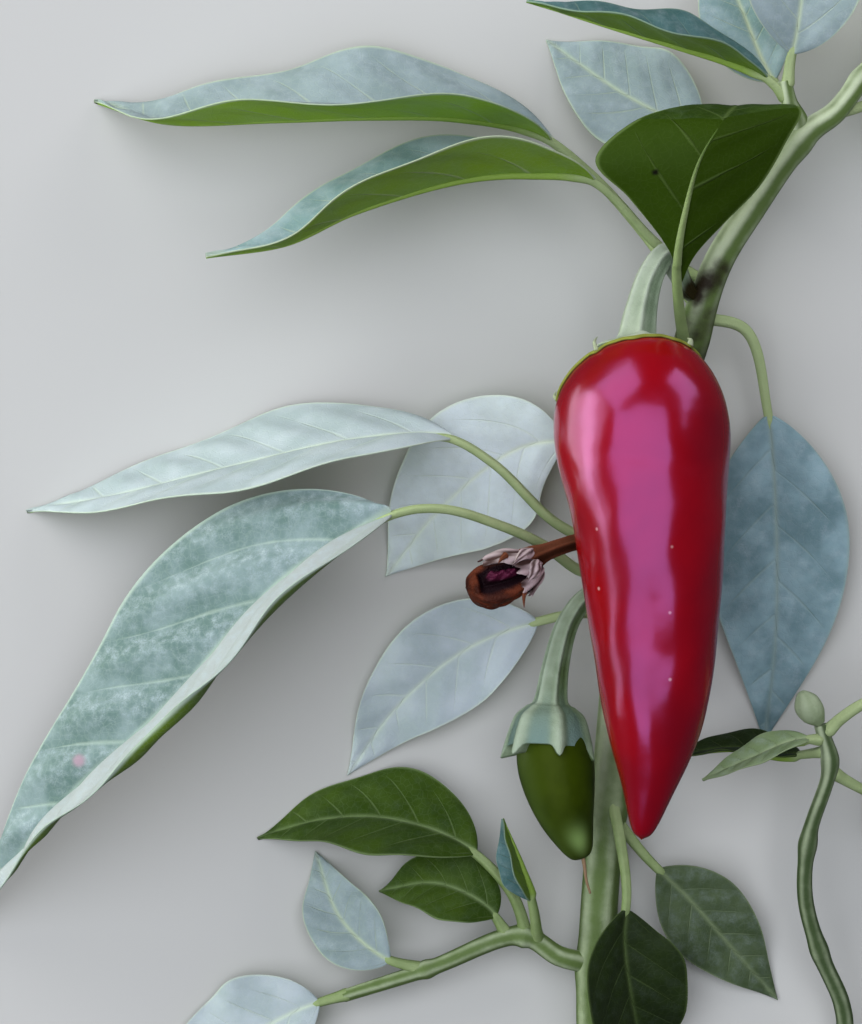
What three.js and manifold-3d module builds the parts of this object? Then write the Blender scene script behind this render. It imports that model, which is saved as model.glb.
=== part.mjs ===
// A cut branch of a chilli pepper plant, lying on its back on a level surface at z = 0.
// Millimetres. +Y runs up the living plant, and +Z is the side that the branch is seen from.
import * as THREE from 'three';
import { mergeVertices } from 'three/addons/utils/BufferGeometryUtils.js';
import Module from 'manifold-3d';

const wasm = await Module();
wasm.setup();

// Driving sizes
const RIPE_LENGTH = 75;
const RIPE_RADIUS = 13.1;
const GREEN_LENGTH = 22.7;
const GREEN_RADIUS = 5.8;
const POD_LENGTH = 11.5;
const POD_RADIUS = 3.9;
const SEAT_GAP = 0.3;
const LEAF_THICKNESS = 0.6;
const LEAF_THICKNESS_SHARE = 0.0105;
const LEAF_STALK_RADIUS = 0.9;
const LEAF_STALK_END_RADIUS = 0.45;

// The middle of the branch's outline, which the part's origin lies under
const OUTLINE_MIDDLE = { x: 9.5, y: -1.8 };

// How finely the pieces are divided
const STEM_SIDES = 10;
const STALK_SIDES = 6;
const STALK_ROWS = 7;
const SMALL_LEAF = { across: 4, along: 8 };
const LARGE_LEAF = { across: 8, along: 12 };

const TOWARDS_VIEWER = new THREE.Vector3(0, 0, 1);
const SAME_PLACE = 1e-4;

const FINISHES = {
  stem: { color: 0x7f8f55, roughness: 0.6 },
  leaf: { color: 0x8fa897, roughness: 0.7 },
  leafUnderside: { color: 0x47642f, roughness: 0.6 },
  ripeSkin: { color: 0xa80a16, roughness: 0.25 },
  greenSkin: { color: 0x4c6b1c, roughness: 0.3 },
  calyx: { color: 0x9aae80, roughness: 0.6 },
  dried: { color: 0x5a2f24, roughness: 0.85 },
  driedPod: { color: 0x3a0f1c, roughness: 0.5 },
};

function smoothPath(points) {
  const corners = points.map(([x, y, z]) => new THREE.Vector3(x, y, z));
  return new THREE.CatmullRomCurve3(corners, false, 'centripetal');
}

// Frames at the given shares of a path's length, turned as little as possible from one to the next
function framesAlong(path, shares, facing) {
  let normal = facing.clone();
  return shares.map((share) => {
    const middle = path.getPointAt(share);
    const tangent = path.getTangentAt(share);
    normal = normal.clone().projectOnPlane(tangent).normalize();
    const side = new THREE.Vector3().crossVectors(tangent, normal);
    return { middle, tangent, normal, side };
  });
}

// A geometry as a closed solid, with shared corners merged and triangles of no area left out
function toSolid(geometry) {
  geometry.deleteAttribute('normal');
  geometry.deleteAttribute('uv');
  const merged = mergeVertices(geometry, SAME_PLACE);
  const corners = merged.index.array;
  const triangles = [];
  for (let i = 0; i < corners.length; i += 3) {
    const [a, b, c] = corners.slice(i, i + 3);
    if (a !== b && b !== c && c !== a) triangles.push(a, b, c);
  }
  return new wasm.Manifold(new wasm.Mesh({
    numProp: 3,
    vertProperties: merged.attributes.position.array,
    triVerts: Uint32Array.from(triangles),
  }));
}

function toMesh(name, solid, finish) {
  const { vertProperties, triVerts } = solid.getMesh();
  const geometry = new THREE.BufferGeometry();
  geometry.setAttribute('position', new THREE.BufferAttribute(vertProperties, 3));
  geometry.setIndex(new THREE.BufferAttribute(triVerts, 1));
  geometry.computeVertexNormals();
  const mesh = new THREE.Mesh(geometry, new THREE.MeshStandardMaterial({ ...finish, metalness: 0 }));
  mesh.name = name;
  return mesh;
}

// The largest body of a solid, without the scraps that a cut leaves loose
function largestBody(solid) {
  return solid.decompose().reduce((best, body) => (body.volume() > best.volume() ? body : best));
}

// A round body along a path: each ring is a share of the path's length and a radius there
function roundBody(path, rings, sides) {
  const last = rings.length - 1;
  const profile = rings.map(([, radius], row) => new THREE.Vector2(radius, row));
  if (rings[0][1] > 0) profile.unshift(new THREE.Vector2(0, 0));
  if (rings[last][1] > 0) profile.push(new THREE.Vector2(0, last));
  const geometry = new THREE.LatheGeometry(profile, sides);
  const frames = framesAlong(path, rings.map(([share]) => share), TOWARDS_VIEWER);
  const position = geometry.attributes.position;
  const corner = new THREE.Vector3();
  for (let i = 0; i < position.count; i += 1) {
    const { middle, normal, side } = frames[Math.round(position.getY(i))];
    corner.copy(middle);
    corner.addScaledVector(side, position.getX(i));
    corner.addScaledVector(normal, position.getZ(i));
    position.setXYZ(i, corner.x, corner.y, corner.z);
  }
  return toSolid(geometry);
}

// A limb that tapers evenly from its foot to its tip
function taperedLimb(points, footRadius, tipRadius, rows, sides) {
  const rings = Array.from({ length: rows + 1 }, (_, row) => {
    const share = row / rows;
    return [share, THREE.MathUtils.lerp(footRadius, tipRadius, share)];
  });
  return roundBody(smoothPath(points), rings, sides);
}

// Rings read evenly off a smooth curve through a few shares and radii, all grown by the same amount
function smoothRings(outline, rows, grow = 0) {
  const curve = new THREE.SplineCurve(outline.map(([share, radius]) => new THREE.Vector2(share, radius)));
  return curve.getPoints(rows).map(({ x, y }) => [THREE.MathUtils.clamp(x, 0, 1), Math.max(y, 0) + grow]);
}

// Stems: the path from foot to tip, the radius at each end, and the stems that the foot stands clear of
const STEMS = {
  main_stem: {
    path: [[27.5, -102.5, 3.1], [25.5, -80, 4], [26, -62, 4.6], [28, -38, 5.5], [31, -8, 7],
      [37, 14, 9.5], [42, 35, 13]],
    radii: [3.1, 2.5],
    rows: 18,
    seats: [],
  },
  upper_stem: {
    path: [[42.3, 36, 13.4], [48.5, 46, 16], [56.8, 57.5, 18.2]],
    radii: [2.6, 1.7],
    rows: 7,
    seats: ['main_stem'],
  },
  right_twig: {
    path: [[57.5, 58, 18.3], [61.5, 60.5, 18], [65.5, 66, 17], [70.5, 73, 15.5], [73, 79, 15]],
    radii: [1.5, 0.9],
    rows: 8,
    seats: ['upper_stem'],
  },
  top_twig: {
    path: [[56.2, 58.5, 18.5], [54.5, 62, 19.3], [53.6, 65.5, 20]],
    radii: [1.5, 1.1],
    rows: 4,
    seats: ['upper_stem', 'right_twig'],
  },
  right_shoot_foot: {
    path: [[27, -98.5, 3.8], [40, -96.5, 3.4], [54, -91.5, 3.6], [62, -84.6, 4.4]],
    radii: [1.5, 1.4],
    rows: 9,
    seats: ['main_stem'],
  },
  right_shoot: {
    path: [[62.35, -84.2, 4.5], [64, -80.5, 5.2], [63.5, -76, 6.2], [60, -68, 8.5], [57.5, -59, 11],
      [58, -49.5, 13], [61, -38.5, 15], [59.5, -32.5, 16]],
    radii: [1.4, 1.1],
    rows: 14,
    seats: ['right_shoot_foot'],
  },
  low_twig: {
    path: [[26, -70, 5], [20, -68.8, 6], [14, -65.5, 6.5], [0, -70.5, 6], [-13.5, -75, 4.5]],
    radii: [1.7, 1.1],
    rows: 10,
    seats: ['main_stem'],
  },
};

function stemLimb(name, grow = 0) {
  const { path, radii, rows } = STEMS[name];
  return taperedLimb(path, radii[0] + grow, radii[1] + grow, rows, STEM_SIDES);
}

// A piece cut back so that it stands the seat gap clear of each stem named
function seatOn(solid, stems) {
  return largestBody(stems.reduce((left, stem) => left.subtract(stemLimb(stem, SEAT_GAP)), solid));
}

function stemSolid(name) {
  return seatOn(stemLimb(name), STEMS[name].seats);
}

// Leaves: the stems that each one's stalk grows from or passes, its path from there to its tip, the
// share of the path that is stalk, half its width, where its upper face looks at the blade's foot, and
// how many degrees each half is folded up. A few are widest nearer the stalk, taper more, or have a
// stronger wave along the margin.
const LEAVES = {
  leaf_upper_far: {
    seats: ['main_stem'],
    path: [[41, 31, 12], [33, 43, 7], [24, 53, 5.5], [16, 58.5, 8], [4, 60.5, 12], [-9, 60.5, 14],
      [-24, 60, 13], [-41, 60, 8], [-52.5, 64, -0.5]],
    stalkShare: 0.32,
    halfWidth: 13.5,
    facing: [0, 0.94, 0.34],
    fold: 29,
    grid: LARGE_LEAF,
  },
  leaf_upper_near: {
    seats: ['main_stem', 'upper_stem'],
    path: [[41.5, 35.5, 11.5], [38, 38, 12.5], [33.5, 42, 14.5], [24.5, 50.5, 16.5], [15, 51.5, 18],
      [4.5, 50.5, 19], [-11.5, 45.5, 20], [-22, 40.5, 21], [-34, 38.5, 23]],
    stalkShare: 0.27,
    halfWidth: 12.5,
    taper: 1.3,
    facing: [0, 1, 0.07],
    fold: 29,
    grid: LARGE_LEAF,
  },
  leaf_top_left: {
    seats: ['top_twig'],
    path: [[54.8, 62.3, 19.3], [50.5, 66, 20.5], [45.5, 68.2, 21], [37.5, 70.5, 22], [27, 73.5, 22],
      [14.5, 77.5, 20]],
    stalkShare: 0.12,
    halfWidth: 7.5,
    facing: [0, 0.95, 0.3],
    fold: 27,
  },
  leaf_behind_fork: {
    seats: ['upper_stem'],
    path: [[53, 52, 15], [47, 53.5, 9], [41.5, 58, 7], [29.5, 65, 4], [18, 73.5, -0.5]],
    stalkShare: 0.35,
    halfWidth: 9,
    facing: [0.1, 0.3, 1],
    fold: 10,
  },
  leaf_top: {
    seats: ['top_twig'],
    path: [[53.8, 65.6, 20], [55.5, 74, 23], [56.5, 86, 23], [56, 99, 18]],
    stalkShare: 0.12,
    halfWidth: 9,
    facing: [0, 0, 1],
    fold: 15,
  },
  leaf_top_inner: {
    seats: ['top_twig', 'upper_stem'],
    path: [[54.5, 62, 18.5], [51, 68, 16], [47.5, 77, 14], [43, 88, 9]],
    stalkShare: 0.15,
    halfWidth: 7,
    facing: [0, 0, 1],
    fold: 15,
  },
  leaf_right_low: {
    seats: ['right_twig'],
    path: [[61.5, 60.5, 17], [69, 63, 13.5], [79, 65.5, 8], [93, 66, -0.5]],
    stalkShare: 0.2,
    halfWidth: 9,
    facing: [0.3, 0.3, 1],
    fold: 15,
  },
  leaf_right_high: {
    seats: ['right_twig'],
    path: [[70, 71.8, 15.6], [76, 73, 11.5], [83, 78, 8], [91, 87, 2]],
    stalkShare: 0.15,
    halfWidth: 7,
    facing: [0, 0, 1],
    fold: 15,
  },
  leaf_middle_far: {
    seats: ['main_stem'],
    path: [[31.2, -6, 7], [25, -4.5, 8.5], [19, -1.5, 10], [9.5, 7.5, 13], [2, 11.5, 14],
      [-11.5, 11, 14], [-30, 7, 11], [-48.5, 2.5, 6], [-63, 0, -0.5]],
    stalkShare: 0.33,
    halfWidth: 13,
    facing: [0, 0.92, 0.39],
    fold: 8,
    grid: LARGE_LEAF,
  },
  leaf_middle_near: {
    seats: ['main_stem'],
    path: [[31, -8.5, 8.5], [27, -9.5, 10], [23, -9, 12], [17.5, -5.2, 15], [10.5, -2, 20],
      [1.5, 0.5, 24], [-6, -0.5, 25.5], [-22.5, -10.5, 25], [-39.5, -29, 22], [-57, -45.5, 14],
      [-73.5, -67, -0.5]],
    stalkShare: 0.3,
    halfWidth: 17.5,
    widestAt: 0.32,
    taper: 1.4,
    facing: [-0.45, 0.68, 0.62],
    fold: 27,
    wave: 0.8,
    grid: LARGE_LEAF,
  },
  leaf_middle_back: {
    seats: ['main_stem'],
    path: [[36, 11, 8.5], [26, 11, 6], [14, 10, 5], [2, 1, 3], [-7, -10, -0.5]],
    stalkShare: 0.3,
    halfWidth: 11,
    facing: [0, 0, 1],
    fold: 8,
  },
  leaf_low_back: {
    seats: ['main_stem'],
    path: [[29.5, -15, 6], [18.5, -16.5, 5.5], [6, -21, 4], [-5, -30, 2], [-13, -41, -0.5]],
    stalkShare: 0.25,
    halfWidth: 8,
    facing: [0, 0, 1],
    fold: 8,
  },
  leaf_hanging_right: {
    seats: ['main_stem'],
    path: [[41, 30, 11], [48.5, 28, 9], [52, 16, 6], [53.5, -1, 4], [53.5, -20, 2.5], [52, -36, -0.5]],
    stalkShare: 0.3,
    halfWidth: 11,
    facing: [0, 0, 1],
    fold: 8,
  },
  leaf_foot_near: {
    seats: ['main_stem'],
    path: [[27.4, -42, 5.3], [29, -50, 10], [30, -58, 11.5], [29.6, -66, 10.5], [31, -76, 8],
      [34, -88.5, -0.5]],
    stalkShare: 0.4,
    halfWidth: 9,
    facing: [0.45, 0, 1],
    fold: 22,
  },
  leaf_foot_right: {
    seats: ['main_stem'],
    path: [[27.5, -46, 5], [33, -53, 6.5], [40, -60, 4], [47, -68, 2], [54, -76, -0.5]],
    stalkShare: 0.3,
    halfWidth: 6.5,
    facing: [0, 0, 1],
    fold: 8,
  },
  leaf_low_green: {
    seats: ['low_twig'],
    path: [[12, -65.3, 6.4], [8, -60.5, 8], [1, -57.5, 7.5], [-8, -59, 3]],
    stalkShare: 0.15,
    halfWidth: 6,
    facing: [0, 0.6, 0.8],
    fold: 15,
  },
  leaf_low_left: {
    seats: ['low_twig'],
    path: [[15, -65.2, 6.6], [12, -58, 9.5], [4.5, -51, 9.5], [-7, -47.5, 6.5], [-17, -48, 3],
      [-27, -51, -0.5]],
    stalkShare: 0.3,
    halfWidth: 9,
    facing: [0, 0.75, 0.66],
    fold: 12,
  },
  leaf_low_folded: {
    seats: ['low_twig'],
    path: [[16.5, -66.6, 7], [15.5, -60, 12], [13.8, -54.5, 13.5], [11, -47, 12.5]],
    stalkShare: 0.4,
    halfWidth: 3.2,
    facing: [-0.8, 0, 0.6],
    fold: 50,
    wave: 0.2,
  },
  leaf_twig_middle: {
    seats: ['low_twig'],
    path: [[-1, -70.6, 6], [-7, -69, 6.5], [-14, -63, 4], [-18, -53, -0.5]],
    stalkShare: 0.2,
    halfWidth: 5.5,
    facing: [0, 0, 1],
    fold: 12,
  },
  leaf_twig_end: {
    seats: ['low_twig'],
    path: [[-12.5, -74.6, 4.6], [-20, -77, 4.5], [-30, -82, 3], [-43, -86, -0.5]],
    stalkShare: 0.15,
    halfWidth: 8.5,
    facing: [0, 0.3, 1],
    fold: 12,
  },
  leaf_shoot_front: {
    seats: ['right_shoot'],
    path: [[60.5, -34.5, 15.5], [55, -35, 17.5], [49, -37.5, 17], [41.5, -41, 15]],
    stalkShare: 0.15,
    halfWidth: 2.6,
    facing: [0, 0.8, 0.6],
    fold: 20,
    wave: 0.2,
  },
  leaf_shoot_back: {
    seats: ['right_shoot'],
    path: [[60.8, -36.5, 14.8], [54, -37.5, 10], [47, -36.5, 8], [37, -38, 7]],
    stalkShare: 0.2,
    halfWidth: 4,
    facing: [0, 0.9, 0.4],
    fold: 20,
    wave: 0.3,
  },
  leaf_shoot_high: {
    seats: ['right_shoot'],
    path: [[60, -33.5, 15.8], [66, -29, 19], [73, -27.5, 16], [84, -32, 8], [93, -41, -0.5]],
    stalkShare: 0.35,
    halfWidth: 8,
    facing: [0.3, 0.6, 0.7],
    fold: 15,
  },
  leaf_shoot_low: {
    seats: ['right_shoot'],
    path: [[60.7, -39.5, 14.7], [67, -43, 11], [76, -47, 7], [90, -56, -0.5]],
    stalkShare: 0.25,
    halfWidth: 7.5,
    facing: [0.3, 0.4, 0.9],
    fold: 15,
  },
};

// Half a leaf's width at a share of its blade: a sine arch leaned so that it peaks where the blade is
// widest, and raised to a power that draws out the tip
function halfWidthAt(share, { halfWidth, widestAt = 0.39, taper = 1.12 }) {
  const TIP_HALF_WIDTH = 0.35;
  const lean = Math.log(0.5) / Math.log(widestAt);
  return TIP_HALF_WIDTH + halfWidth * Math.sin(Math.PI * share ** lean) ** taper;
}

// A leaf's blade: two halves raised by the fold from the midrib, with a waved margin.
// What would lie below the surface under the branch is pressed flat on it.
function leafBlade(path, leaf) {
  const WAVES = 2.5;
  const WAVE_LAG = 2;
  const { stalkShare, facing, fold, wave = 0.6, grid = SMALL_LEAF } = leaf;
  const { across, along } = grid;
  const thickness = Math.max(LEAF_THICKNESS, LEAF_THICKNESS_SHARE * path.getLength());
  const lift = THREE.MathUtils.degToRad(fold);
  const rows = Array.from({ length: along + 1 }, (_, row) => row / along);
  const shares = rows.map((share) => THREE.MathUtils.lerp(stalkShare, 1, share));
  const frames = framesAlong(path, shares, new THREE.Vector3(...facing));
  const geometry = new THREE.BoxGeometry(2, along, 1, across, along, 1);
  const position = geometry.attributes.position;
  for (let i = 0; i < position.count; i += 1) {
    const out = position.getX(i);
    const row = Math.round(position.getY(i) + along / 2);
    const layer = position.getZ(i);
    const share = row / along;
    const { middle, normal, side } = frames[row];
    const reach = halfWidthAt(share, leaf);
    const ripple = Math.sin(2 * Math.PI * WAVES * share + WAVE_LAG * out) * Math.sin(Math.PI * share);
    const raised = Math.abs(out) * reach * Math.sin(lift) + wave * out * out * ripple + layer * thickness;
    const corner = middle.clone();
    corner.addScaledVector(side, out * reach * Math.cos(lift));
    corner.addScaledVector(normal, raised);
    const lowest = layer > 0 ? thickness : 0;
    position.setXYZ(i, corner.x, corner.y, Math.max(corner.z, lowest));
  }
  return toSolid(geometry);
}

// The stalk of a leaf, sunk a little way into the foot of the blade
function leafStalk(path, { stalkShare }) {
  const SUNK_SHARE = 0.12;
  const end = THREE.MathUtils.lerp(stalkShare, 1, SUNK_SHARE);
  const rings = Array.from({ length: STALK_ROWS + 1 }, (_, row) => {
    const share = row / STALK_ROWS;
    return [end * share, THREE.MathUtils.lerp(LEAF_STALK_RADIUS, LEAF_STALK_END_RADIUS, share)];
  });
  return roundBody(path, rings, STALK_SIDES);
}

function leafSolid(leaf) {
  const path = smoothPath(leaf.path);
  return seatOn(leafBlade(path, leaf).add(leafStalk(path, leaf)), leaf.seats);
}

// The broad leaf that stands up over the fork, seen from below, with its tip bent away from the viewer
const FORK_LEAF = {
  seats: ['main_stem'],
  stalk: [[39.5, 23, 11], [38.5, 27, 15.5], [37.7, 31, 19], [37, 38.5, 26], [37.4, 42, 28.2]],
  midrib: [[37, 38, 25.6], [38.1, 45.6, 30.5], [40, 52.5, 33.5], [43, 57.5, 33], [45.5, 60.5, 28],
    [47, 61.5, 20]],
  left: [[37, 38, 25.6], [29.7, 47, 29], [24.6, 52.5, 30], [30, 58.2, 29.5], [38, 61, 27],
    [47, 61.5, 20]],
  right: [[37, 38, 25.6], [43.2, 42.5, 27], [49.3, 48.5, 28], [53.4, 55.8, 27.5], [55.6, 60.6, 26.5],
    [47, 61.5, 20]],
  facing: [-0.2, 0.6, -0.75],
  grid: LARGE_LEAF,
};

// A blade between three rails that share a foot and a tip: the midrib and the two margins.
// Each half leaves the midrib in a shallow curve and ends on its margin.
function railBlade({ midrib, left, right, facing, grid }) {
  const KEEL = 1.5;
  const RAIL_END = 0.03;
  const { across, along } = grid;
  const [middle, onLeft, onRight] = [midrib, left, right].map(smoothPath);
  const raise = new THREE.Vector3(...facing).setLength(LEAF_THICKNESS);
  const geometry = new THREE.BoxGeometry(2, along, 1, across, along, 1);
  const position = geometry.attributes.position;
  for (let i = 0; i < position.count; i += 1) {
    const out = position.getX(i);
    const share = THREE.MathUtils.clamp(position.getY(i) / along + 0.5, RAIL_END, 1 - RAIL_END);
    const corner = middle.getPoint(share);
    const margin = (out > 0 ? onLeft : onRight).getPoint(share);
    const other = (out > 0 ? onRight : onLeft).getPoint(share);
    const slope = margin.clone().sub(other).multiplyScalar(0.5);
    const bow = margin.clone().add(other).multiplyScalar(0.5).sub(corner);
    corner.addScaledVector(slope, Math.abs(out));
    corner.addScaledVector(bow, Math.abs(out) ** KEEL);
    corner.addScaledVector(raise, position.getZ(i));
    position.setXYZ(i, corner.x, corner.y, corner.z);
  }
  return toSolid(geometry);
}

function forkLeafSolid() {
  const { stalk, seats } = FORK_LEAF;
  const limb = taperedLimb(stalk, LEAF_STALK_RADIUS, LEAF_STALK_END_RADIUS, STALK_ROWS, STALK_SIDES);
  return seatOn(railBlade(FORK_LEAF).add(limb), seats);
}

// Fruit: where the crown lies, the axis from there in shares of the length, and the outline as shares
// of the length and of the radius
const RIPE_FRUIT = {
  crown: [31.2, 24, 20.5],
  length: RIPE_LENGTH,
  radius: RIPE_RADIUS,
  axis: [[0, 0, 0], [0.005, -0.067, 0.044], [0.011, -0.2, 0.093], [0.024, -0.413, 0.124],
    [0.032, -0.64, 0.135], [0.024, -0.8, 0.14], [0.003, -0.973, 0.14]],
  outline: [[0, 0], [0.012, 0.31], [0.05, 0.72], [0.1, 0.93], [0.18, 1], [0.35, 0.89], [0.56, 0.75],
    [0.76, 0.565], [0.91, 0.28], [0.98, 0.13], [1, 0]],
  rows: 20,
  sides: 24,
};

const GREEN_FRUIT = {
  crown: [18.6, -31, 14],
  length: GREEN_LENGTH,
  radius: GREEN_RADIUS,
  axis: [[0, 0, 0], [0.018, -0.31, 0.044], [0.088, -0.66, 0.088], [0.2, -0.97, 0.088]],
  outline: [[0, 0], [0.02, 0.52], [0.15, 0.9], [0.35, 1], [0.6, 0.84], [0.85, 0.52], [0.97, 0.29],
    [1, 0]],
  rows: 10,
  sides: 16,
};

// The withered pod inside the dried flower
const DRIED_POD = {
  crown: [16, -8.2, 22.3],
  length: POD_LENGTH,
  radius: POD_RADIUS,
  axis: [[0, 0, 0], [-0.26, -0.1, 0.06], [-0.61, -0.21, 0.11], [-0.94, -0.28, 0.15]],
  outline: [[0, 0], [0.05, 0.41], [0.35, 0.85], [0.7, 1], [0.93, 0.62], [1, 0]],
  rows: 8,
  sides: 14,
};

function fruitSolid({ crown, length, radius, axis, outline, rows, sides }, grow = 0) {
  const path = smoothPath(axis.map((step) => step.map((share, i) => crown[i] + share * length)));
  const profile = outline.map(([share, width]) => [share, width * radius]);
  return roundBody(path, smoothRings(profile, rows, grow), sides);
}

// Fruit stalks: each path runs from the stem to the crown and on over the shoulder of the fruit, where
// it ends at the calyx's rim. The flare lists how far back from the rim each radius lies, and the
// teeth stand round the rim. What would be inside the fruit is cut away.
const RIPE_STALK = {
  seats: ['main_stem', 'upper_stem'],
  path: [[42, 37, 14.5], [39.8, 40.5, 17.2], [36.8, 41, 18.8], [33.8, 37, 18.9], [32, 31, 18.6],
    [31.2, 25.5, 19.5], [31, 20.8, 22.6]],
  footRadius: 1.5,
  flare: [[14, 2], [9, 2.6], [6.6, 3], [5.4, 4.4], [4, 7], [2, 10], [0, 11.4]],
  rows: 16,
  sides: 18,
  teeth: { count: 7, ring: 11.2, length: 2.2, radius: 1, lean: 0.5 },
};

const GREEN_STALK = {
  seats: ['main_stem'],
  path: [[30, -13, 6.5], [26.5, -12, 8.5], [23.8, -13.2, 10.5], [21, -17, 12.2], [19.3, -23, 13.5],
    [18.6, -28.5, 14], [18.6, -32, 14.1], [19, -38, 15]],
  footRadius: 1.2,
  flare: [[18, 1.5], [13, 1.9], [11, 2.7], [9, 4.3], [5, 5.8], [0, 6.4]],
  rows: 16,
  sides: 14,
  teeth: { count: 6, ring: 6.1, length: 3, radius: 1, lean: 0.9 },
};

// The dried flower's brown stalk, which flares into a shrivelled cup round the pod
const DRIED_STALK = {
  seats: ['main_stem'],
  path: [[32, -4.5, 10], [27.5, -4.6, 15], [23, -5, 19.5], [19, -6.4, 21.5], [15.6, -8.2, 22.4],
    [11.5, -9.8, 23.2]],
  footRadius: 0.8,
  flare: [[12, 0.8], [8, 1.2], [6, 2.6], [3.5, 3.9], [0, 4.5]],
  rows: 12,
  sides: 10,
  teeth: { count: 5, ring: 4, length: 2.2, radius: 0.8, lean: 0.4 },
};

// One tooth of a calyx: a slim cone whose root is sunk in the rim, and which leans out as it points
// down the fruit
function toothSolid({ middle, tangent, normal, side }, angle, { ring, length, radius, lean }) {
  const TOOTH_SIDES = 6;
  const ROOT_SHARE = 0.3;
  const outward = new THREE.Vector3();
  outward.addScaledVector(side, Math.cos(angle));
  outward.addScaledVector(normal, Math.sin(angle));
  const direction = tangent.clone().addScaledVector(outward, lean).normalize();
  const geometry = new THREE.ConeGeometry(radius, length * (1 + 2 * ROOT_SHARE), TOOTH_SIDES);
  geometry.translate(0, length * ROOT_SHARE, 0);
  const turn = new THREE.Quaternion().setFromUnitVectors(new THREE.Vector3(0, 1, 0), direction);
  geometry.applyQuaternion(turn);
  const root = middle.clone().addScaledVector(outward, ring);
  geometry.translate(root.x, root.y, root.z);
  return toSolid(geometry);
}

function fruitStalkSolid({ seats, path, footRadius, flare, rows, sides, teeth }, fruit) {
  const curve = smoothPath(path);
  const length = curve.getLength();
  const outline = [[0, footRadius], ...flare.map(([fromRim, radius]) => [1 - fromRim / length, radius])];
  const [rim] = framesAlong(curve, [1], TOWARDS_VIEWER);
  let solid = roundBody(curve, smoothRings(outline, rows), sides);
  for (let i = 0; i < teeth.count; i += 1) {
    solid = solid.add(toothSolid(rim, (2 * Math.PI * i) / teeth.count, teeth));
  }
  return seatOn(solid.subtract(fruitSolid(fruit, SEAT_GAP)), seats);
}

// Buds: the path from the stem, and shares of it with the radius there
const BUDS = {
  shoot_bud: {
    seats: ['right_shoot'],
    path: [[59.4, -32.2, 16.1], [57.6, -29.8, 17], [56.2, -27.3, 17.8]],
    outline: [[0, 0.8], [0.3, 2.1], [0.7, 2.3], [0.95, 1], [1, 0]],
  },
  twig_bud: {
    seats: ['right_twig'],
    path: [[73, 79, 15], [73.6, 82, 15.4], [74, 85, 16]],
    outline: [[0, 0.7], [0.35, 1.5], [0.7, 1.3], [1, 0]],
  },
};

function budSolid({ seats, path, outline }) {
  const ROWS = 8;
  return seatOn(roundBody(smoothPath(path), smoothRings(outline, ROWS), STEM_SIDES), seats);
}

function buildBranch() {
  const branch = new THREE.Group();
  for (const name of Object.keys(STEMS)) {
    branch.add(toMesh(name, stemSolid(name), FINISHES.stem));
  }
  for (const [name, leaf] of Object.entries(LEAVES)) {
    branch.add(toMesh(name, leafSolid(leaf), FINISHES.leaf));
  }
  branch.add(toMesh('leaf_over_fork', forkLeafSolid(), FINISHES.leafUnderside));
  branch.add(toMesh('ripe_fruit', fruitSolid(RIPE_FRUIT), FINISHES.ripeSkin));
  branch.add(toMesh('ripe_fruit_stalk', fruitStalkSolid(RIPE_STALK, RIPE_FRUIT), FINISHES.calyx));
  branch.add(toMesh('green_fruit', fruitSolid(GREEN_FRUIT), FINISHES.greenSkin));
  branch.add(toMesh('green_fruit_stalk', fruitStalkSolid(GREEN_STALK, GREEN_FRUIT), FINISHES.calyx));
  branch.add(toMesh('dried_pod', fruitSolid(DRIED_POD), FINISHES.driedPod));
  branch.add(toMesh('dried_stalk', fruitStalkSolid(DRIED_STALK, DRIED_POD), FINISHES.dried));
  for (const [name, bud] of Object.entries(BUDS)) {
    branch.add(toMesh(name, budSolid(bud), FINISHES.calyx));
  }
  branch.position.set(-OUTLINE_MIDDLE.x, -OUTLINE_MIDDLE.y, 0);
  return branch;
}

const chilliBranch = new THREE.Group();
chilliBranch.add(buildBranch());

export default chilliBranch;
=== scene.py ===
import math

import bpy
import numpy as np
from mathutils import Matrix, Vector


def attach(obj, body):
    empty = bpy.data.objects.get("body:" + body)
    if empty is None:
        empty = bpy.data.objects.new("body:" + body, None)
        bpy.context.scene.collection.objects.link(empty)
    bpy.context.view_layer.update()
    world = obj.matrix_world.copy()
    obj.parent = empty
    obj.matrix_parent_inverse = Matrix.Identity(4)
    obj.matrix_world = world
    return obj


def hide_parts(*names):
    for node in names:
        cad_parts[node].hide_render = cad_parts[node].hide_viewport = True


# A cut branch of a chilli pepper plant, lying on its back on a pale surface and seen from above.
# Limbs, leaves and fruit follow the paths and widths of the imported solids, with finer surfaces.
# Places are in millimetres from the middle of the photographed view, with +Y up the plant and z above
# the floor. OUTLINE_MIDDLE moves them to the part's own origin.
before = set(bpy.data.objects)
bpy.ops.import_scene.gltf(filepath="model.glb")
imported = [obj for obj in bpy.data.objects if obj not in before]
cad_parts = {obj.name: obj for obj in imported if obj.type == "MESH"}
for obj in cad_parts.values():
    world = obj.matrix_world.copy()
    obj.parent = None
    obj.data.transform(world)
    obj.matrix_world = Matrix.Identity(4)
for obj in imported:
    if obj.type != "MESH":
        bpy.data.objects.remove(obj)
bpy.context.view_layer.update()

MM = 0.001
OUTLINE_MIDDLE = np.array([9.5, -1.8, 0.0])
TOWARDS_VIEWER = (0.0, 0.0, 1.0)

# Driving sizes, in millimetres
RIPE_LENGTH = 75.0
RIPE_RADIUS = 13.1
GREEN_LENGTH = 22.7
GREEN_RADIUS = 5.8
POD_LENGTH = 11.5
POD_RADIUS = 3.9
LEAF_THICKNESS = 0.5
LEAF_STALK_RADIUS = 0.9
SIDE_VEIN_SPACING = 10.0


# Curves and frames

def knots(points):
    """The points with one more at each end, laid as far beyond the end as its neighbour is before it."""
    inner = np.asarray(points, float)
    return np.vstack([2 * inner[0] - inner[1], inner, 2 * inner[-1] - inner[-2]])


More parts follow.
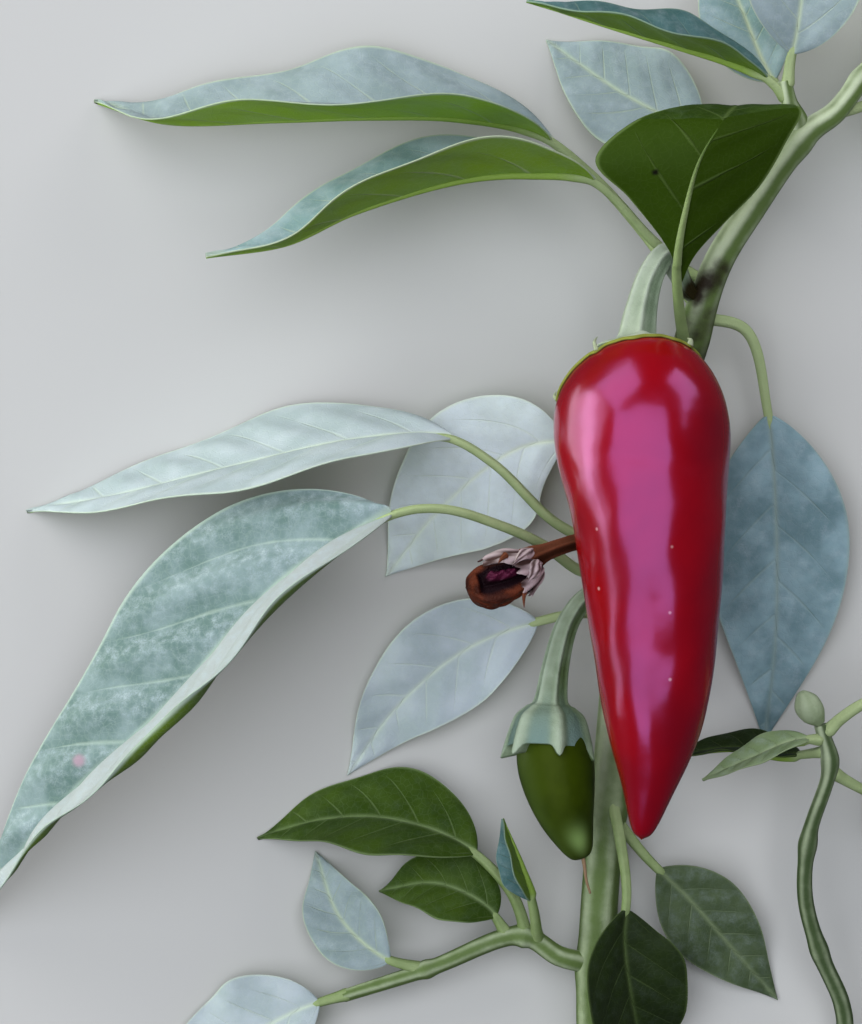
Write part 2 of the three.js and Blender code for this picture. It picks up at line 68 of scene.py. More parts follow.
# How finely a curve is divided to read off its length: steps for each corner, and for the whole curve
CORNER_STEPS = 60
LENGTH_STEPS = 400


def curve_at(points, shares):
    """Points at even shares of the spans of a centripetal Catmull-Rom curve: cubic spans whose end slopes
    are weighted by the square roots of the distances between the corners."""
    corner = knots(points)
    spans = len(corner) - 3
    place = np.clip(np.asarray(shares, float), 0, 1) * spans
    span = np.minimum(place.astype(int), spans - 1)
    t = (place - span)[:, None]
    a, b, c, d = (corner[span + k] for k in range(4))
    before, inside, after = (np.sqrt(np.linalg.norm(end - start, axis=1))[:, None]
                             for start, end in ((a, b), (b, c), (c, d)))
    leave = inside * ((b - a) / before - (c - a) / (before + inside) + (c - b) / inside)
    arrive = inside * ((c - b) / inside - (d - b) / (inside + after) + (d - c) / after)
    square = -3 * b + 3 * c - 2 * leave - arrive
    cube = 2 * b - 2 * c + leave + arrive
    return b + leave * t + square * t ** 2 + cube * t ** 3


def run_along(middle):
    """How far along a path each of its places is from its foot: the sum of the steps up to it."""
    steps = np.linalg.norm(np.diff(middle, axis=0), axis=1)
    return np.concatenate([[0], np.cumsum(steps)])


def path_at(points, shares):
    """Points at even shares of the curve's length, read off a finely divided copy of it."""
    fine = curve_at(points, np.linspace(0, 1, CORNER_STEPS * len(points)))
    run = run_along(fine)
    wanted = np.asarray(shares, float) * run[-1]
    return np.stack([np.interp(wanted, run, fine[:, axis]) for axis in range(3)], axis=1)


def path_length(points):
    """The curve's length, as the sum of its short steps."""
    return float(run_along(curve_at(points, np.linspace(0, 1, LENGTH_STEPS)))[-1])


def unit(vectors):
    """Each vector divided by its length."""
    return vectors / np.linalg.norm(vectors, axis=-1, keepdims=True)


def frames_along(middle, facing):
    """Tangent, normal and side at each row of a path. The normal starts from the facing direction and is
    carried along by taking out its part along each tangent, so it turns as little as possible."""
    tangent = unit(np.gradient(middle, axis=0))
    normal = np.empty_like(middle)
    carried = np.asarray(facing, float)
    for row, along in enumerate(tangent):
        carried = unit(carried - carried.dot(along) * along)
        normal[row] = carried
    return tangent, normal, np.cross(tangent, normal)


def off_path(side, normal, aside, raised):
    """Steps off each row of a path: so far to its side and so far along its normal. A cosine and a sine of
    the same angle give the directions round the path."""
    return side[:, None] * aside[..., None] + normal[:, None] * raised[..., None]


def smooth_step(value, low, high):
    """0 below low, 1 above high, and a smooth cubic rise between them."""
    t = np.clip((value - low) / (high - low), 0, 1)
    return t * t * (3 - 2 * t)


def bell(value, centre, width):
    """A bell curve of height 1 at the centre."""
    return np.exp(-((value - centre) / width) ** 2)


# Meshes

def shell_arrays(rings, marks):
    """Corners, faces and point values of a closed shell made of rows of rings, with a fan over each end.
    Faces are turned round where the shell's volume comes out negative."""
    rows, sides, _ = rings.shape
    ends = rings[[0, -1]].mean(axis=1)
    corners = np.vstack([rings.reshape(-1, 3), ends])
    index = np.arange(rows * sides).reshape(rows, sides)
    after = np.roll(index, -1, axis=1)
    quads = np.stack([index[:-1], after[:-1], after[1:], index[1:]], axis=-1).reshape(-1, 4)
    foot, tip = rows * sides, rows * sides + 1
    fan_foot = np.stack([after[0], index[0], np.full(sides, foot)], axis=-1)
    fan_tip = np.stack([index[-1], after[-1], np.full(sides, tip)], axis=-1)
    a, b, c, d = (corners[quads[:, k]] for k in range(4))
    volume = np.einsum("ij,ij->i", a, np.cross(b, c) + np.cross(c, d)).sum()
    a, b, c = (corners[np.concatenate([fan_foot, fan_tip])[:, k]] for k in range(3))
    volume += np.einsum("ij,ij->i", a, np.cross(b, c)).sum()
    faces = [quads, fan_foot, fan_tip]
    if volume < 0:
        faces = [group[:, ::-1] for group in faces]
    values = {}
    for name, value in marks.items():
        grid = np.broadcast_to(value, (rows, sides))
        values[name] = np.concatenate([grid.ravel(), grid[[0, -1]].mean(axis=1)])
    return corners, faces, values


def make_piece(name, shells, materials, nodes):
    """One object from closed shells, each given as rings, point values and a material number. It stands
    for the named nodes and rides on the part's one body."""
    corners, corner_count, faces, looks, values = [], 0, [], [], {}
    mark_names = sorted({mark for _, marks, _ in shells for mark in marks})
    for rings, marks, look in shells:
        full = {mark: marks.get(mark, 0.0) for mark in mark_names}
        places, shell_faces, shell_values = shell_arrays(rings, full)
        for group in shell_faces:
            faces.append(group + corner_count)
            looks.append(np.full(len(group), look))
        for mark in mark_names:
            values.setdefault(mark, []).append(shell_values[mark])
        corners.append((places - OUTLINE_MIDDLE) * MM)
        corner_count += len(places)
    corners = np.vstack(corners)
    sizes = np.concatenate([np.full(len(group), group.shape[1]) for group in faces])
    loops = np.concatenate([group.ravel() for group in faces])
    mesh = bpy.data.meshes.new(name)
    mesh.vertices.add(len(corners))
    mesh.vertices.foreach_set("co", corners.astype(np.float32).ravel())
    mesh.loops.add(len(loops))
    mesh.loops.foreach_set("vertex_index", loops.astype(np.int32))
    mesh.polygons.add(len(sizes))
    mesh.polygons.foreach_set("loop_start", np.concatenate([[0], np.cumsum(sizes)[:-1]]).astype(np.int32))
    mesh.polygons.foreach_set("material_index", np.concatenate(looks).astype(np.int32))
    mesh.polygons.foreach_set("use_smooth", np.ones(len(sizes), bool))
    for mark in mark_names:
        attribute = mesh.attributes.new(mark, "FLOAT", "POINT")
        attribute.data.foreach_set("value", np.concatenate(values[mark]).astype(np.float32))
    mesh.update(calc_edges=True)
    mesh.validate()
    for material in materials:
        mesh.materials.append(material)
    piece = bpy.data.objects.new(name, mesh)
    bpy.context.scene.collection.objects.link(piece)
    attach(piece, "root")
    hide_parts(*nodes)
    return piece


# Material nodes

def add(tree, kind, inputs=None, **settings):
    """A node with its settings, and with each input linked or set to a constant."""
    node = tree.nodes.new(kind)
    for key, value in settings.items():
        setattr(node, key, value)
    for key, value in (inputs or {}).items():
        if isinstance(value, bpy.types.NodeSocket):
            tree.links.new(value, node.inputs[key])
        else:
            node.inputs[key].default_value = value
    return node


def maths(tree, operation, a, b=0.0):
    """The result of one operation on two values."""
    return add(tree, "ShaderNodeMath", {0: a, 1: b}, operation=operation).outputs[0]


def plus(tree, a, b):
    """The sum of two values."""
    return maths(tree, "ADD", a, b)


def minus(tree, a, b):
    """The first value less the second."""
    return maths(tree, "SUBTRACT", a, b)


def times(tree, a, b):
    """The product of two values."""
    return maths(tree, "MULTIPLY", a, b)


def swing(tree, mask, strength):
    """A mask about 0.5 as a swing either way about 0: its distance from 0.5, times the strength."""
    return times(tree, minus(tree, mask, 0.5), strength)


def rise(tree, value, low, high, bottom=0.0, top=1.0):
    """A smooth rise from bottom to top as the value goes from low to high."""
    inputs = {"Value": value, "From Min": low, "From Max": high, "To Min": bottom, "To Max": top}
    return add(tree, "ShaderNodeMapRange", inputs, interpolation_type="SMOOTHSTEP").outputs["Result"]


def blend(tree, share, first, second):
    """A colour between two others. The Mix node's sockets for colours have no names of their own."""
    factor, a, b, result = 0, 6, 7, 2
    mixed = add(tree, "ShaderNodeMix", {factor: share, a: first, b: second}, data_type="RGBA")
    return mixed.outputs[result]


def mark(tree, name):
    """A point value of the mesh, read by its name. It is 0 on a mesh that lacks it."""
    return add(tree, "ShaderNodeAttribute", attribute_name=name).outputs["Fac"]


def noise(tree, scale, detail, place):
    """Soft noise about 0.5, with the scale in features for each metre."""
    texture = add(tree, "ShaderNodeTexNoise", {"Vector": place, "Scale": scale, "Detail": detail})
    return texture.outputs["Fac"]


def paint(colour):
    """A colour with the alpha that its socket asks for."""
    return (*colour, 1.0)


def new_group(name, inputs, outputs):
    """An empty node group with its named sockets, and its input and output nodes."""
    kinds = {"value": "NodeSocketFloat", "colour": "NodeSocketColor"}
    group = bpy.data.node_groups.new(name, "ShaderNodeTree")
    for socket, kind in inputs.items():
        group.interface.new_socket(socket, in_out="INPUT", socket_type=kinds[kind])
    for socket, kind in outputs.items():
        group.interface.new_socket(socket, in_out="OUTPUT", socket_type=kinds[kind])
    return group, group.nodes.new("NodeGroupInput").outputs, group.nodes.new("NodeGroupOutput").inputs


def use_group(tree, group, inputs):
    """The outputs of a group node, with each of its inputs linked or set to a constant."""
    return add(tree, "ShaderNodeGroup", inputs, node_tree=group).outputs


def new_material(name, **constants):
    """A material with a Principled shader whose constant sockets are set by name."""
    material = bpy.data.materials.new(name)
    material.use_nodes = True
    shader = material.node_tree.nodes["Principled BSDF"]
    for key, value in constants.items():
        shader.inputs[key.replace("_", " ")].default_value = value
    return material, material.node_tree, shader


def relief(tree, shader, height, distance):
    """Feeds a height in shares of a distance in metres to the shader as a bump."""
    bump = add(tree, "ShaderNodeBump", {"Height": height, "Distance": distance, "Strength": 1.0})
    tree.links.new(bump.outputs["Normal"], shader.inputs["Normal"])


def skin_grain_group():
    """Broad and fine unevenness, as masks about 0.5, and sparse specks: a dot in the middle of each cell
    whose random colour falls under the speck share."""
    group, given, result = new_group("skin_grain", {"Scale": "value", "Speck Share": "value"},
                                     {"Broad": "value", "Fine": "value", "Specks": "value"})
    place = add(group, "ShaderNodeTexCoord").outputs["Object"]
    fine_scale = times(group, given["Scale"], 9.0)
    speck_scale = times(group, given["Scale"], 5.0)
    cells = add(group, "ShaderNodeTexVoronoi", {"Vector": place, "Scale": speck_scale}).outputs
    drawn = add(group, "ShaderNodeSeparateColor", {0: cells["Color"]}).outputs[0]
    chosen = maths(group, "LESS_THAN", drawn, given["Speck Share"])
    dot = rise(group, cells["Distance"], 0.10, 0.04)
    group.links.new(noise(group, given["Scale"], 3.0, place), result["Broad"])
    group.links.new(noise(group, fine_scale, 2.0, place), result["Fine"])
    group.links.new(times(group, chosen, dot), result["Specks"])
    return group


# Colours that the leaf finishes share: the bloom's powder, and the painted sheen of light on one half blade
POWDER = (0.41, 0.48, 0.54)
SHEEN_HALF_COLOUR = (0.39, 0.415, 0.435)


def vein_masks(group, place):
    """Masks of a leaf's side veins, of the ground near them and of the fine network between them. The side
    veins lie where vein_phase is a whole number. They wander a little and thin out towards the margin."""
    out = mark(group, "out")
    phase = maths(group, "PINGPONG", mark(group, "vein_phase"), 0.5)
    wander = swing(group, noise(group, 260.0, 2.0, place), 0.07)
    from_vein = maths(group, "ABSOLUTE", plus(group, phase, wander))
    width = rise(group, out, 0.0, 1.0, 0.050, 0.016)
    off_line = maths(group, "MINIMUM", maths(group, "DIVIDE", from_vein, width), 1.0)
    line = times(group, minus(group, 1.0, off_line), rise(group, out, 0.95, 0.60))
    near_vein = rise(group, from_vein, 0.20, 0.0)
    cells = add(group, "ShaderNodeTexVoronoi", {"Vector": place, "Scale": 900.0},
                feature="DISTANCE_TO_EDGE")
    network = rise(group, cells.outputs["Distance"], 0.09, 0.0)
    return line, near_vein, network


def powder_and_slope_light_mask(group, place, fine, near_vein, bloom):
    """Where the bloom's powder lies: in patches of fine grains and fewer near a side vein. It also thins out
    from just past one vein to the next, which paints light and shade on the swellings between the veins."""
    patchy = noise(group, 700.0, 6.0, place)
    powder = times(group, rise(group, patchy, 0.32, 0.82), bloom)
    powder = times(group, powder, rise(group, fine, 0.30, 0.66, 0.35, 1.0))
    powder = times(group, powder, rise(group, near_vein, 0.0, 1.0, 1.0, 0.6))
    # Painted light and shade: more powder just past a vein and less before the next, for each swelling's lit
    # and shaded slope.
    past_vein = maths(group, "FRACT", mark(group, "vein_phase"))
    return times(group, powder, rise(group, past_vein, 0.25, 0.95, 1.35, 0.45))


def leaf_face_group():
    """Both faces of a leaf. The upper face is mottled, pale and powdery between thin pale veins, with a
    painted sheen on one half where asked, and the underside is plain green with raised, paler veins."""
    colours = {name: "colour" for name in ("Upper", "Upper Deep", "Under", "Vein", "Spot")}
    group, given, result = new_group("leaf_face", {**colours, "Bloom": "value"},
                                     {"Colour": "colour", "Roughness": "value", "Height": "value"})
    place = add(group, "ShaderNodeTexCoord").outputs["Object"]
    under = mark(group, "underside")
    broad = noise(group, 150.0, 4.0, place)
    fine = noise(group, 4200.0, 3.0, place)
    line, near_vein, network = vein_masks(group, place)
    # The powder mask also carries painted light and shade between the side veins.
    powder = powder_and_slope_light_mask(group, place, fine, near_vein, given["Bloom"])

    upper = blend(group, rise(group, broad, 0.34, 0.68), given["Upper Deep"], given["Upper"])
    # Painted sheen: one half blade is painted paler, as light glancing off it makes it look.
    upper = blend(group, times(group, mark(group, "pale_half"), 0.86), upper, paint(SHEEN_HALF_COLOUR))
    upper = blend(group, powder, upper, paint(POWDER))
    upper = blend(group, times(group, network, 0.09), upper, given["Vein"])
    upper_line = maths(group, "MAXIMUM", times(group, line, 0.42), mark(group, "midrib"))
    upper = blend(group, upper_line, upper, given["Vein"])

    lower = blend(group, rise(group, broad, 0.30, 0.75, 0.0, 0.16), given["Under"], given["Upper Deep"])
    lower = blend(group, times(group, network, 0.05), lower, given["Vein"])
    lower = blend(group, times(group, line, 0.34), lower, given["Vein"])

    face = blend(group, under, upper, lower)
    face = blend(group, mark(group, "spot"), face, given["Spot"])
    face = blend(group, times(group, mark(group, "margin"), 0.75), face, given["Vein"])
    group.links.new(face, result["Colour"])
    group.links.new(rise(group, powder, 0.0, 0.6, 0.50, 0.75), result["Roughness"])

    upper_height = minus(group, times(group, fine, 0.15), times(group, line, 0.38))
    upper_height = minus(group, upper_height, times(group, network, 0.10))
    lower_height = plus(group, times(group, line, 0.9), times(group, network, 0.10))
    upper_part = times(group, upper_height, minus(group, 1.0, under))
    lower_part = times(group, lower_height, under)
    group.links.new(plus(group, upper_part, lower_part), result["Height"])
    return group


GRAIN = skin_grain_group()
LEAF_FACE = leaf_face_group()


# The colours of the fine specks on rinds and on fruit skins
RIND_SPECK = (0.46, 0.50, 0.38)
SKIN_SPECK = (0.85, 0.55, 0.52)


def leaf_material(name, upper, upper_deep, under, bloom, vein=(0.46, 0.52, 0.36),
                  spot=(0.004, 0.004, 0.002), shine=0.09, sheen=0.02):
    """A leaf's finish: its colours and its share of bloom on the faces that all leaves share."""
    material, tree, shader = new_material(name, Specular_IOR_Level=shine, Sheen_Weight=sheen,
                                          Sheen_Roughness=0.6)
    colours = {"Upper": upper, "Upper Deep": upper_deep, "Under": under, "Vein": vein, "Spot": spot}
    painted = {socket: paint(colour) for socket, colour in colours.items()}
    face = use_group(tree, LEAF_FACE, {**painted, "Bloom": bloom})
    tree.links.new(face["Colour"], shader.inputs["Base Color"])
    tree.links.new(face["Roughness"], shader.inputs["Roughness"])
    relief(tree, shader, face["Height"], 0.00018)
    return material


def rib_material(name, pale, deep, roughness, blotch=None, pith=None, rim=None, shine=0.18):
    """Stems, stalks and calyces: paler along the ridges, deeper in the furrows and on the painted shade
    side, with fine specks, and where asked a pale pith, a rim and a blotch, where pith, rim and the knot
    with its painted shade are high."""
    material, tree, shader = new_material(name, Specular_IOR_Level=shine)
    grain = use_group(tree, GRAIN, {"Scale": 380.0, "Speck Share": 0.10})
    lit = plus(tree, mark(tree, "ridge"), swing(tree, grain["Broad"], 1.1))
    # Painted shade: darker on the side away from the light, all round just under the fork and low on the
    # branch.
    lit = minus(tree, lit, times(tree, mark(tree, "green_side"), 1.3))
    colour = blend(tree, rise(tree, lit, -1.0, 1.1), paint(deep), paint(pale))
    colour = blend(tree, times(tree, grain["Specks"], 0.25), colour, paint(RIND_SPECK))
    if pith:
        colour = blend(tree, mark(tree, "pith"), colour, paint(pith))
    if rim:
        colour = blend(tree, mark(tree, "rim"), colour, paint(rim))
    if blotch:
        # The blotch colour paints the dark knot and, round the place under the fork, painted shade.
        knot_and_shade_level = plus(tree, mark(tree, "scar"), swing(tree, grain["Broad"], 0.9))
        colour = blend(tree, rise(tree, knot_and_shade_level, 0.10, 0.85), colour, paint(blotch))
    tree.links.new(colour, shader.inputs["Base Color"])
    dullness = rise(tree, grain["Fine"], 0.2, 0.8, roughness - 0.08, roughness + 0.1)
    tree.links.new(dullness, shader.inputs["Roughness"])
    height = plus(tree, times(tree, grain["Fine"], 0.4), times(tree, grain["Broad"], 0.5))
    relief(tree, shader, height, 0.00025)
    return material


def fruit_material(name, main, deep, pale, tint, gloss, roughness, grain_scale, speck_share):
    """A waxy skin: its main colour drifts towards a deeper one and, where the pale mark is high, a paler
    one, which on the green fruit is painted light, with sparse light specks and a faint dimpled relief under
    a tinted gloss."""
    material, tree, shader = new_material(name, IOR=1.6, Specular_IOR_Level=gloss,
                                          Specular_Tint=paint(tint))
    grain = use_group(tree, GRAIN, {"Scale": grain_scale, "Speck Share": speck_share})
    colour = blend(tree, rise(tree, grain["Broad"], 0.35, 0.7), paint(main), paint(deep))
    colour = blend(tree, mark(tree, "pale_patch"), colour, paint(pale))
    colour = blend(tree, times(tree, grain["Specks"], 0.40), colour, paint(SKIN_SPECK))
    tree.links.new(colour, shader.inputs["Base Color"])
    dullness = rise(tree, grain["Broad"], 0.3, 0.7, roughness - 0.03, roughness + 0.05)
    tree.links.new(dullness, shader.inputs["Roughness"])
    relief(tree, shader, plus(tree, grain["Broad"], times(tree, grain["Fine"], 0.05)), 0.00035)
    return material


# Leaf finishes: the upper face, its deeper tone, the underside and the share of bloom
BRIGHT_UNDER = (0.215, 0.375, 0.016)
PALE = leaf_material(
    "leaf_pale", (0.437, 0.500, 0.545), (0.337, 0.405, 0.430), BRIGHT_UNDER, 0.45,
    vein=(0.50, 0.58, 0.50))
DUSTY = leaf_material(
    "leaf_dusty", (0.27, 0.34, 0.36), (0.21, 0.275, 0.285), BRIGHT_UNDER, 0.35,
    vein=(0.42, 0.50, 0.36))
WHITISH = leaf_material(
    "leaf_whitish", (0.60, 0.68, 0.72), (0.50, 0.57, 0.58), BRIGHT_UNDER, 0.30,
    vein=(0.60, 0.68, 0.58))
BLOOMED = leaf_material(
    "leaf_bloomed", (0.194, 0.266, 0.278), (0.102, 0.166, 0.158), (0.080, 0.135, 0.010), 0.58,
    vein=(0.40, 0.49, 0.43), spot=(0.32, 0.23, 0.29))
TEAL = leaf_material(
    "leaf_teal", (0.29, 0.39, 0.42), (0.15, 0.25, 0.25), (0.165, 0.285, 0.014), 0.40)
HANGING = leaf_material(
    "leaf_hanging", (0.235, 0.355, 0.40), (0.12, 0.205, 0.232), (0.07, 0.12, 0.04), 0.25,
    vein=(0.24, 0.32, 0.30))
DIM_TEAL = leaf_material(
    "leaf_dim_teal", (0.065, 0.145, 0.150), (0.042, 0.105, 0.103), (0.10, 0.18, 0.012), 0.25,
    vein=(0.20, 0.28, 0.22))
GREEN = leaf_material(
    "leaf_green", (0.045, 0.085, 0.007), (0.028, 0.060, 0.004), (0.085, 0.14, 0.02), 0.03,
    vein=(0.17, 0.24, 0.10))
MIST_GREEN = leaf_material(
    "leaf_mist_green", (0.070, 0.102, 0.048), (0.045, 0.070, 0.030), (0.06, 0.11, 0.01), 0.14,
    vein=(0.16, 0.21, 0.11))
LIGHT_GREEN = leaf_material(
    "leaf_light_green", (0.25, 0.32, 0.18), (0.17, 0.24, 0.11), (0.085, 0.14, 0.02), 0.22,
    vein=(0.28, 0.35, 0.20))
# Painted deep shade: the shaded green made darker still, for leaves that lie deep in shade.
DEEP_SHADED = leaf_material(
    "leaf_deep_shaded", (0.013, 0.025, 0.004), (0.009, 0.018, 0.003), (0.02, 0.04, 0.003), 0.02,
    vein=(0.055, 0.085, 0.025))
SHADED = leaf_material(
    "leaf_shaded", (0.036, 0.068, 0.010), (0.018, 0.038, 0.004), (0.022, 0.045, 0.0020), 0.03,
    vein=(0.10, 0.15, 0.045), shine=0.04, sheen=0.0)

# Rinds: the colours of the ridges and of the furrows, and the roughness. PITH is the cut stem's core.
PITH = (0.50, 0.52, 0.34)
STALK = rib_material("leaf_stalk", (0.34, 0.42, 0.21), (0.15, 0.22, 0.07), 0.5, rim=(0.20, 0.31, 0.05))
MIDRIB = rib_material("leaf_midrib", (0.25, 0.32, 0.14), (0.13, 0.18, 0.06), 0.55,
                      rim=(0.045, 0.085, 0.008))
STEM = rib_material("stem_rind", (0.48, 0.55, 0.38), (0.100, 0.155, 0.043), 0.52,
                    blotch=(0.014, 0.009, 0.003), pith=PITH)
SHADED_STEM = rib_material("shaded_stem_rind", (0.34, 0.40, 0.26), (0.050, 0.080, 0.030), 0.52,
                           pith=PITH, shine=0.10)
CALYX = rib_material("calyx_rind", (0.43, 0.485, 0.395), (0.15, 0.205, 0.13), 0.5,
                     blotch=(0.018, 0.014, 0.003), rim=(0.20, 0.215, 0.032))
GREEN_CALYX = rib_material("green_calyx_rind", (0.38, 0.47, 0.35), (0.080, 0.125, 0.045), 0.5,
                           rim=(0.16, 0.25, 0.22))
BUD = rib_material("bud_petals", (0.32, 0.38, 0.25), (0.14, 0.20, 0.085), 0.5)
DRIED = rib_material("dried_husk", (0.150, 0.048, 0.024), (0.022, 0.006, 0.002), 0.7, shine=0.08)
THREAD = rib_material("dried_thread", (0.26, 0.17, 0.10), (0.13, 0.075, 0.04), 0.7)
PETAL = rib_material("dried_petals", (0.46, 0.370, 0.380), (0.058, 0.030, 0.027), 0.8, shine=0.1)

# Fruit skins: the main colour, the deeper one and the paler one
RIPE_SKIN = fruit_material(
    "ripe_skin", (0.250, 0.0012, 0.0022), (0.175, 0.0006, 0.0012), (0.42, 0.05, 0.06),
    tint=(0.72, 0.29, 0.90), gloss=0.84, roughness=0.20, grain_scale=55.0, speck_share=0.25)
GREEN_SKIN = fruit_material(
    "green_skin", (0.034, 0.055, 0.0018), (0.017, 0.029, 0.0009), (0.16, 0.25, 0.075),
    tint=(0.9, 1.0, 0.45), gloss=0.07, roughness=0.42, grain_scale=120.0, speck_share=0.0)


# Limbs

# The rounded ridges on a limb: how many, how high as a share of the radius, and their turns along it
LIMB_RIDGES = 5
RIDGE_HEIGHT = 0.05
RIDGE_TURNS = 0.6


def limb_rings(points, radius_at, rows, sides):
    """A limb carried along a path, and its ridge mark. The radius is a function of the share of the length.
    It rises in a few rounded ridges, by a cosine of the angle, and they wind slowly round the limb."""
    share = np.linspace(0, 1, rows)
    middle = path_at(points, share)
    _, normal, side = frames_along(middle, TOWARDS_VIEWER)
    angle = np.linspace(0, 2 * math.pi, sides, endpoint=False)[None, :]
    ridge = 0.5 + 0.5 * np.cos(LIMB_RIDGES * angle + RIDGE_TURNS * share[:, None] * 2 * math.pi)
    radius = radius_at(share)[:, None] * (1 + RIDGE_HEIGHT * (ridge - 0.5))
    around = off_path(side, normal, np.cos(angle), np.sin(angle))
    return middle[:, None] + radius[..., None] * around, ridge


def tapered(profile, swellings=()):
    """A radius read off a profile of (share, radius), with swellings of (share, growth, width) as bells."""
    shares, radii = zip(*profile)

    def radius_at(share):
        radius = np.interp(share, shares, radii)
        for centre, growth, width in swellings:
            radius = radius * (1 + growth * bell(share, centre, width))
        return radius
    return radius_at


# Each stem's path from foot to tip, its radii by share of the path, the swellings at its nodes, its rows
# and what it stands for. A side stem starts inside the one that carries it, so that the joint has no gap.
STEMS = {
    "main_stem": dict(
        path=[(27.5, -102.5, 3.1), (25.5, -80, 4), (26, -62, 4.6), (28, -38, 5.5), (31, -8, 7),
              (37, 14, 9.5), (41, 29.5, 12.2), (44, 38.2, 14.2), (48.8, 46, 16), (57, 57.4, 18.2),
              (61.5, 60.8, 18), (65.5, 66, 17), (70.5, 73, 15.5), (73, 79, 15)],
        radii=((0, 3.1), (0.66, 2.45), (0.84, 2.0), (0.88, 1.75), (1, 0.9)),
        swellings=((0.165, 0.14, 0.014), (0.29, 0.16, 0.013), (0.46, 0.16, 0.014), (0.675, 0.14, 0.02),
                   (0.85, 0.18, 0.012), (0.92, 0.2, 0.008)),
        rows=620, nodes=["main_stem", "upper_stem", "right_twig"]),
    "top_twig": dict(
        path=[(56.4, 56.6, 18.0), (55.9, 59.5, 18.6), (54.5, 62, 19.3), (53.6, 65.5, 20)],
        radii=((0, 1.0), (0.15, 1.5), (1, 1.1)), swellings=(),
        rows=60, nodes=["top_twig"]),
    "right_shoot": dict(
        path=[(24.5, -98.9, 3.9), (30, -98.2, 3.7), (40, -96.5, 3.4), (54, -91.5, 3.6), (62.1, -84.5, 4.5),
              (64, -80.5, 5.2), (63.5, -76, 6.2), (60, -68, 8.5), (57.5, -59, 11), (58, -49.5, 13),
              (61, -38.5, 15), (59.5, -32.5, 16)],
        radii=((0, 1.6), (1, 1.05)), swellings=((0.62, 0.2, 0.02), (0.80, 0.3, 0.02), (0.94, 0.35, 0.02)),
        rows=320, nodes=["right_shoot_foot", "right_shoot"], finish=SHADED_STEM),
    "low_twig": dict(
        path=[(25.8, -70.1, 4.8), (20, -68.8, 6), (14, -65.5, 6.5), (0, -70.5, 6), (-13.5, -75, 4.5)],
        radii=((0, 1.7), (1, 1.0)), swellings=((0.3, 0.3, 0.03), (0.68, 0.25, 0.025)),
        rows=160, nodes=["low_twig"]),
}

# The marks on the stems: the knot in the fork, from SCAR_PLACE to SCAR_ARM, the place under the fork where
# shade is painted, the way that the painted shade side looks, how far out the pith reaches, and where the
# low shade begins and is full
SCAR_PLACE = np.array([40.2, 33.7, 15.4])
SCAR_ARM = np.array([43.7, 36.5, 16.6])
SCAR_REACH = 2.7
UNDER_FORK = np.array([40.5, 26.5, 13.0])
SHADE_HALO_REACH = 8.0
FORK_SHADE_REACH = 6.0
SHADE_SIDE_DIRECTION = unit(np.array([0.75, -0.60, 0.1]))
PITH_SHARE = 0.62
SHADE_START = 28.0
SHADE_FULL = 58.0
STEM_SIDES = 48


def soft_ball(places, centre, reach):
    """1 at a centre, and a bell curve of the distance from it."""
    return bell(np.linalg.norm(places - centre, axis=2), 0, reach)


def knot_and_shade_mark(places):
    """The dark knot in the fork, by the distance to a short line up the stem, and a faint halo of painted
    shade under it.
    """
    arm = SCAR_ARM - SCAR_PLACE
    along = np.clip((places - SCAR_PLACE) @ arm / (arm @ arm), 0, 1)
    nearest = SCAR_PLACE + along[..., None] * arm
    knot = (1 - 0.25 * along) * soft_ball(places, nearest, SCAR_REACH)
    return np.maximum(knot, 0.55 * soft_ball(places, UNDER_FORK, SHADE_HALO_REACH))


def low_shade(places):
    """Deeper green down the branch, where the leaves above keep off the sun: it grows from SHADE_START to
    SHADE_FULL below the middle of the view."""
    return 0.75 * smooth_step(-places[..., 1], SHADE_START, SHADE_FULL)


def painted_shade_side_mark(rings):
    """Painted shade: the side of a limb that faces away from the light, down and to the right, all of it
    just under the fork, and the shade low on the branch."""
    out = unit(rings - rings.mean(axis=1, keepdims=True))
    away = smooth_step(out @ SHADE_SIDE_DIRECTION, -0.25, 0.75)
    shade_under_fork = 0.9 * soft_ball(rings, UNDER_FORK, FORK_SHADE_REACH)
    return np.maximum(np.maximum(away, shade_under_fork), low_shade(rings))


def with_cut_face(rings, marks):
    """The limb with its foot closed by narrowing rings, so that the flat cut can show its pith."""
    centre = rings[0].mean(axis=0)
    shares = (0.08, PITH_SHARE - 0.06, PITH_SHARE + 0.06, 0.98)
    face = np.stack([centre + (rings[0] - centre) * share for share in shares])
    pith = np.array([1.0, 1.0, 0.0, 0.0])[:, None]
    full = {name: np.concatenate([np.repeat(value[:1], len(shares), axis=0), value])
            for name, value in marks.items()}
    full["pith"] = np.concatenate([pith * np.ones((1, rings.shape[1])), np.zeros(rings.shape[:2])])
    return np.concatenate([face, rings]), full


def make_stems():
    """Each stem with its ridges, its nodes, its marks and its closed foot."""
    for name, stem in STEMS.items():
        radius_at = tapered(stem["radii"], stem["swellings"])
        rings, ridge = limb_rings(stem["path"], radius_at, stem["rows"], STEM_SIDES)
        # Painted shade rides on the marks: the halo under the knot, the side away from the light and the low
        # shade.
        marks = {"ridge": ridge, "scar": knot_and_shade_mark(rings), "green_side": painted_shade_side_mark(rings)}
        shell = with_cut_face(rings, marks)
        make_piece(name + "_rind", [(*shell, 0)], [stem.get("finish", STEM)], stem["nodes"])


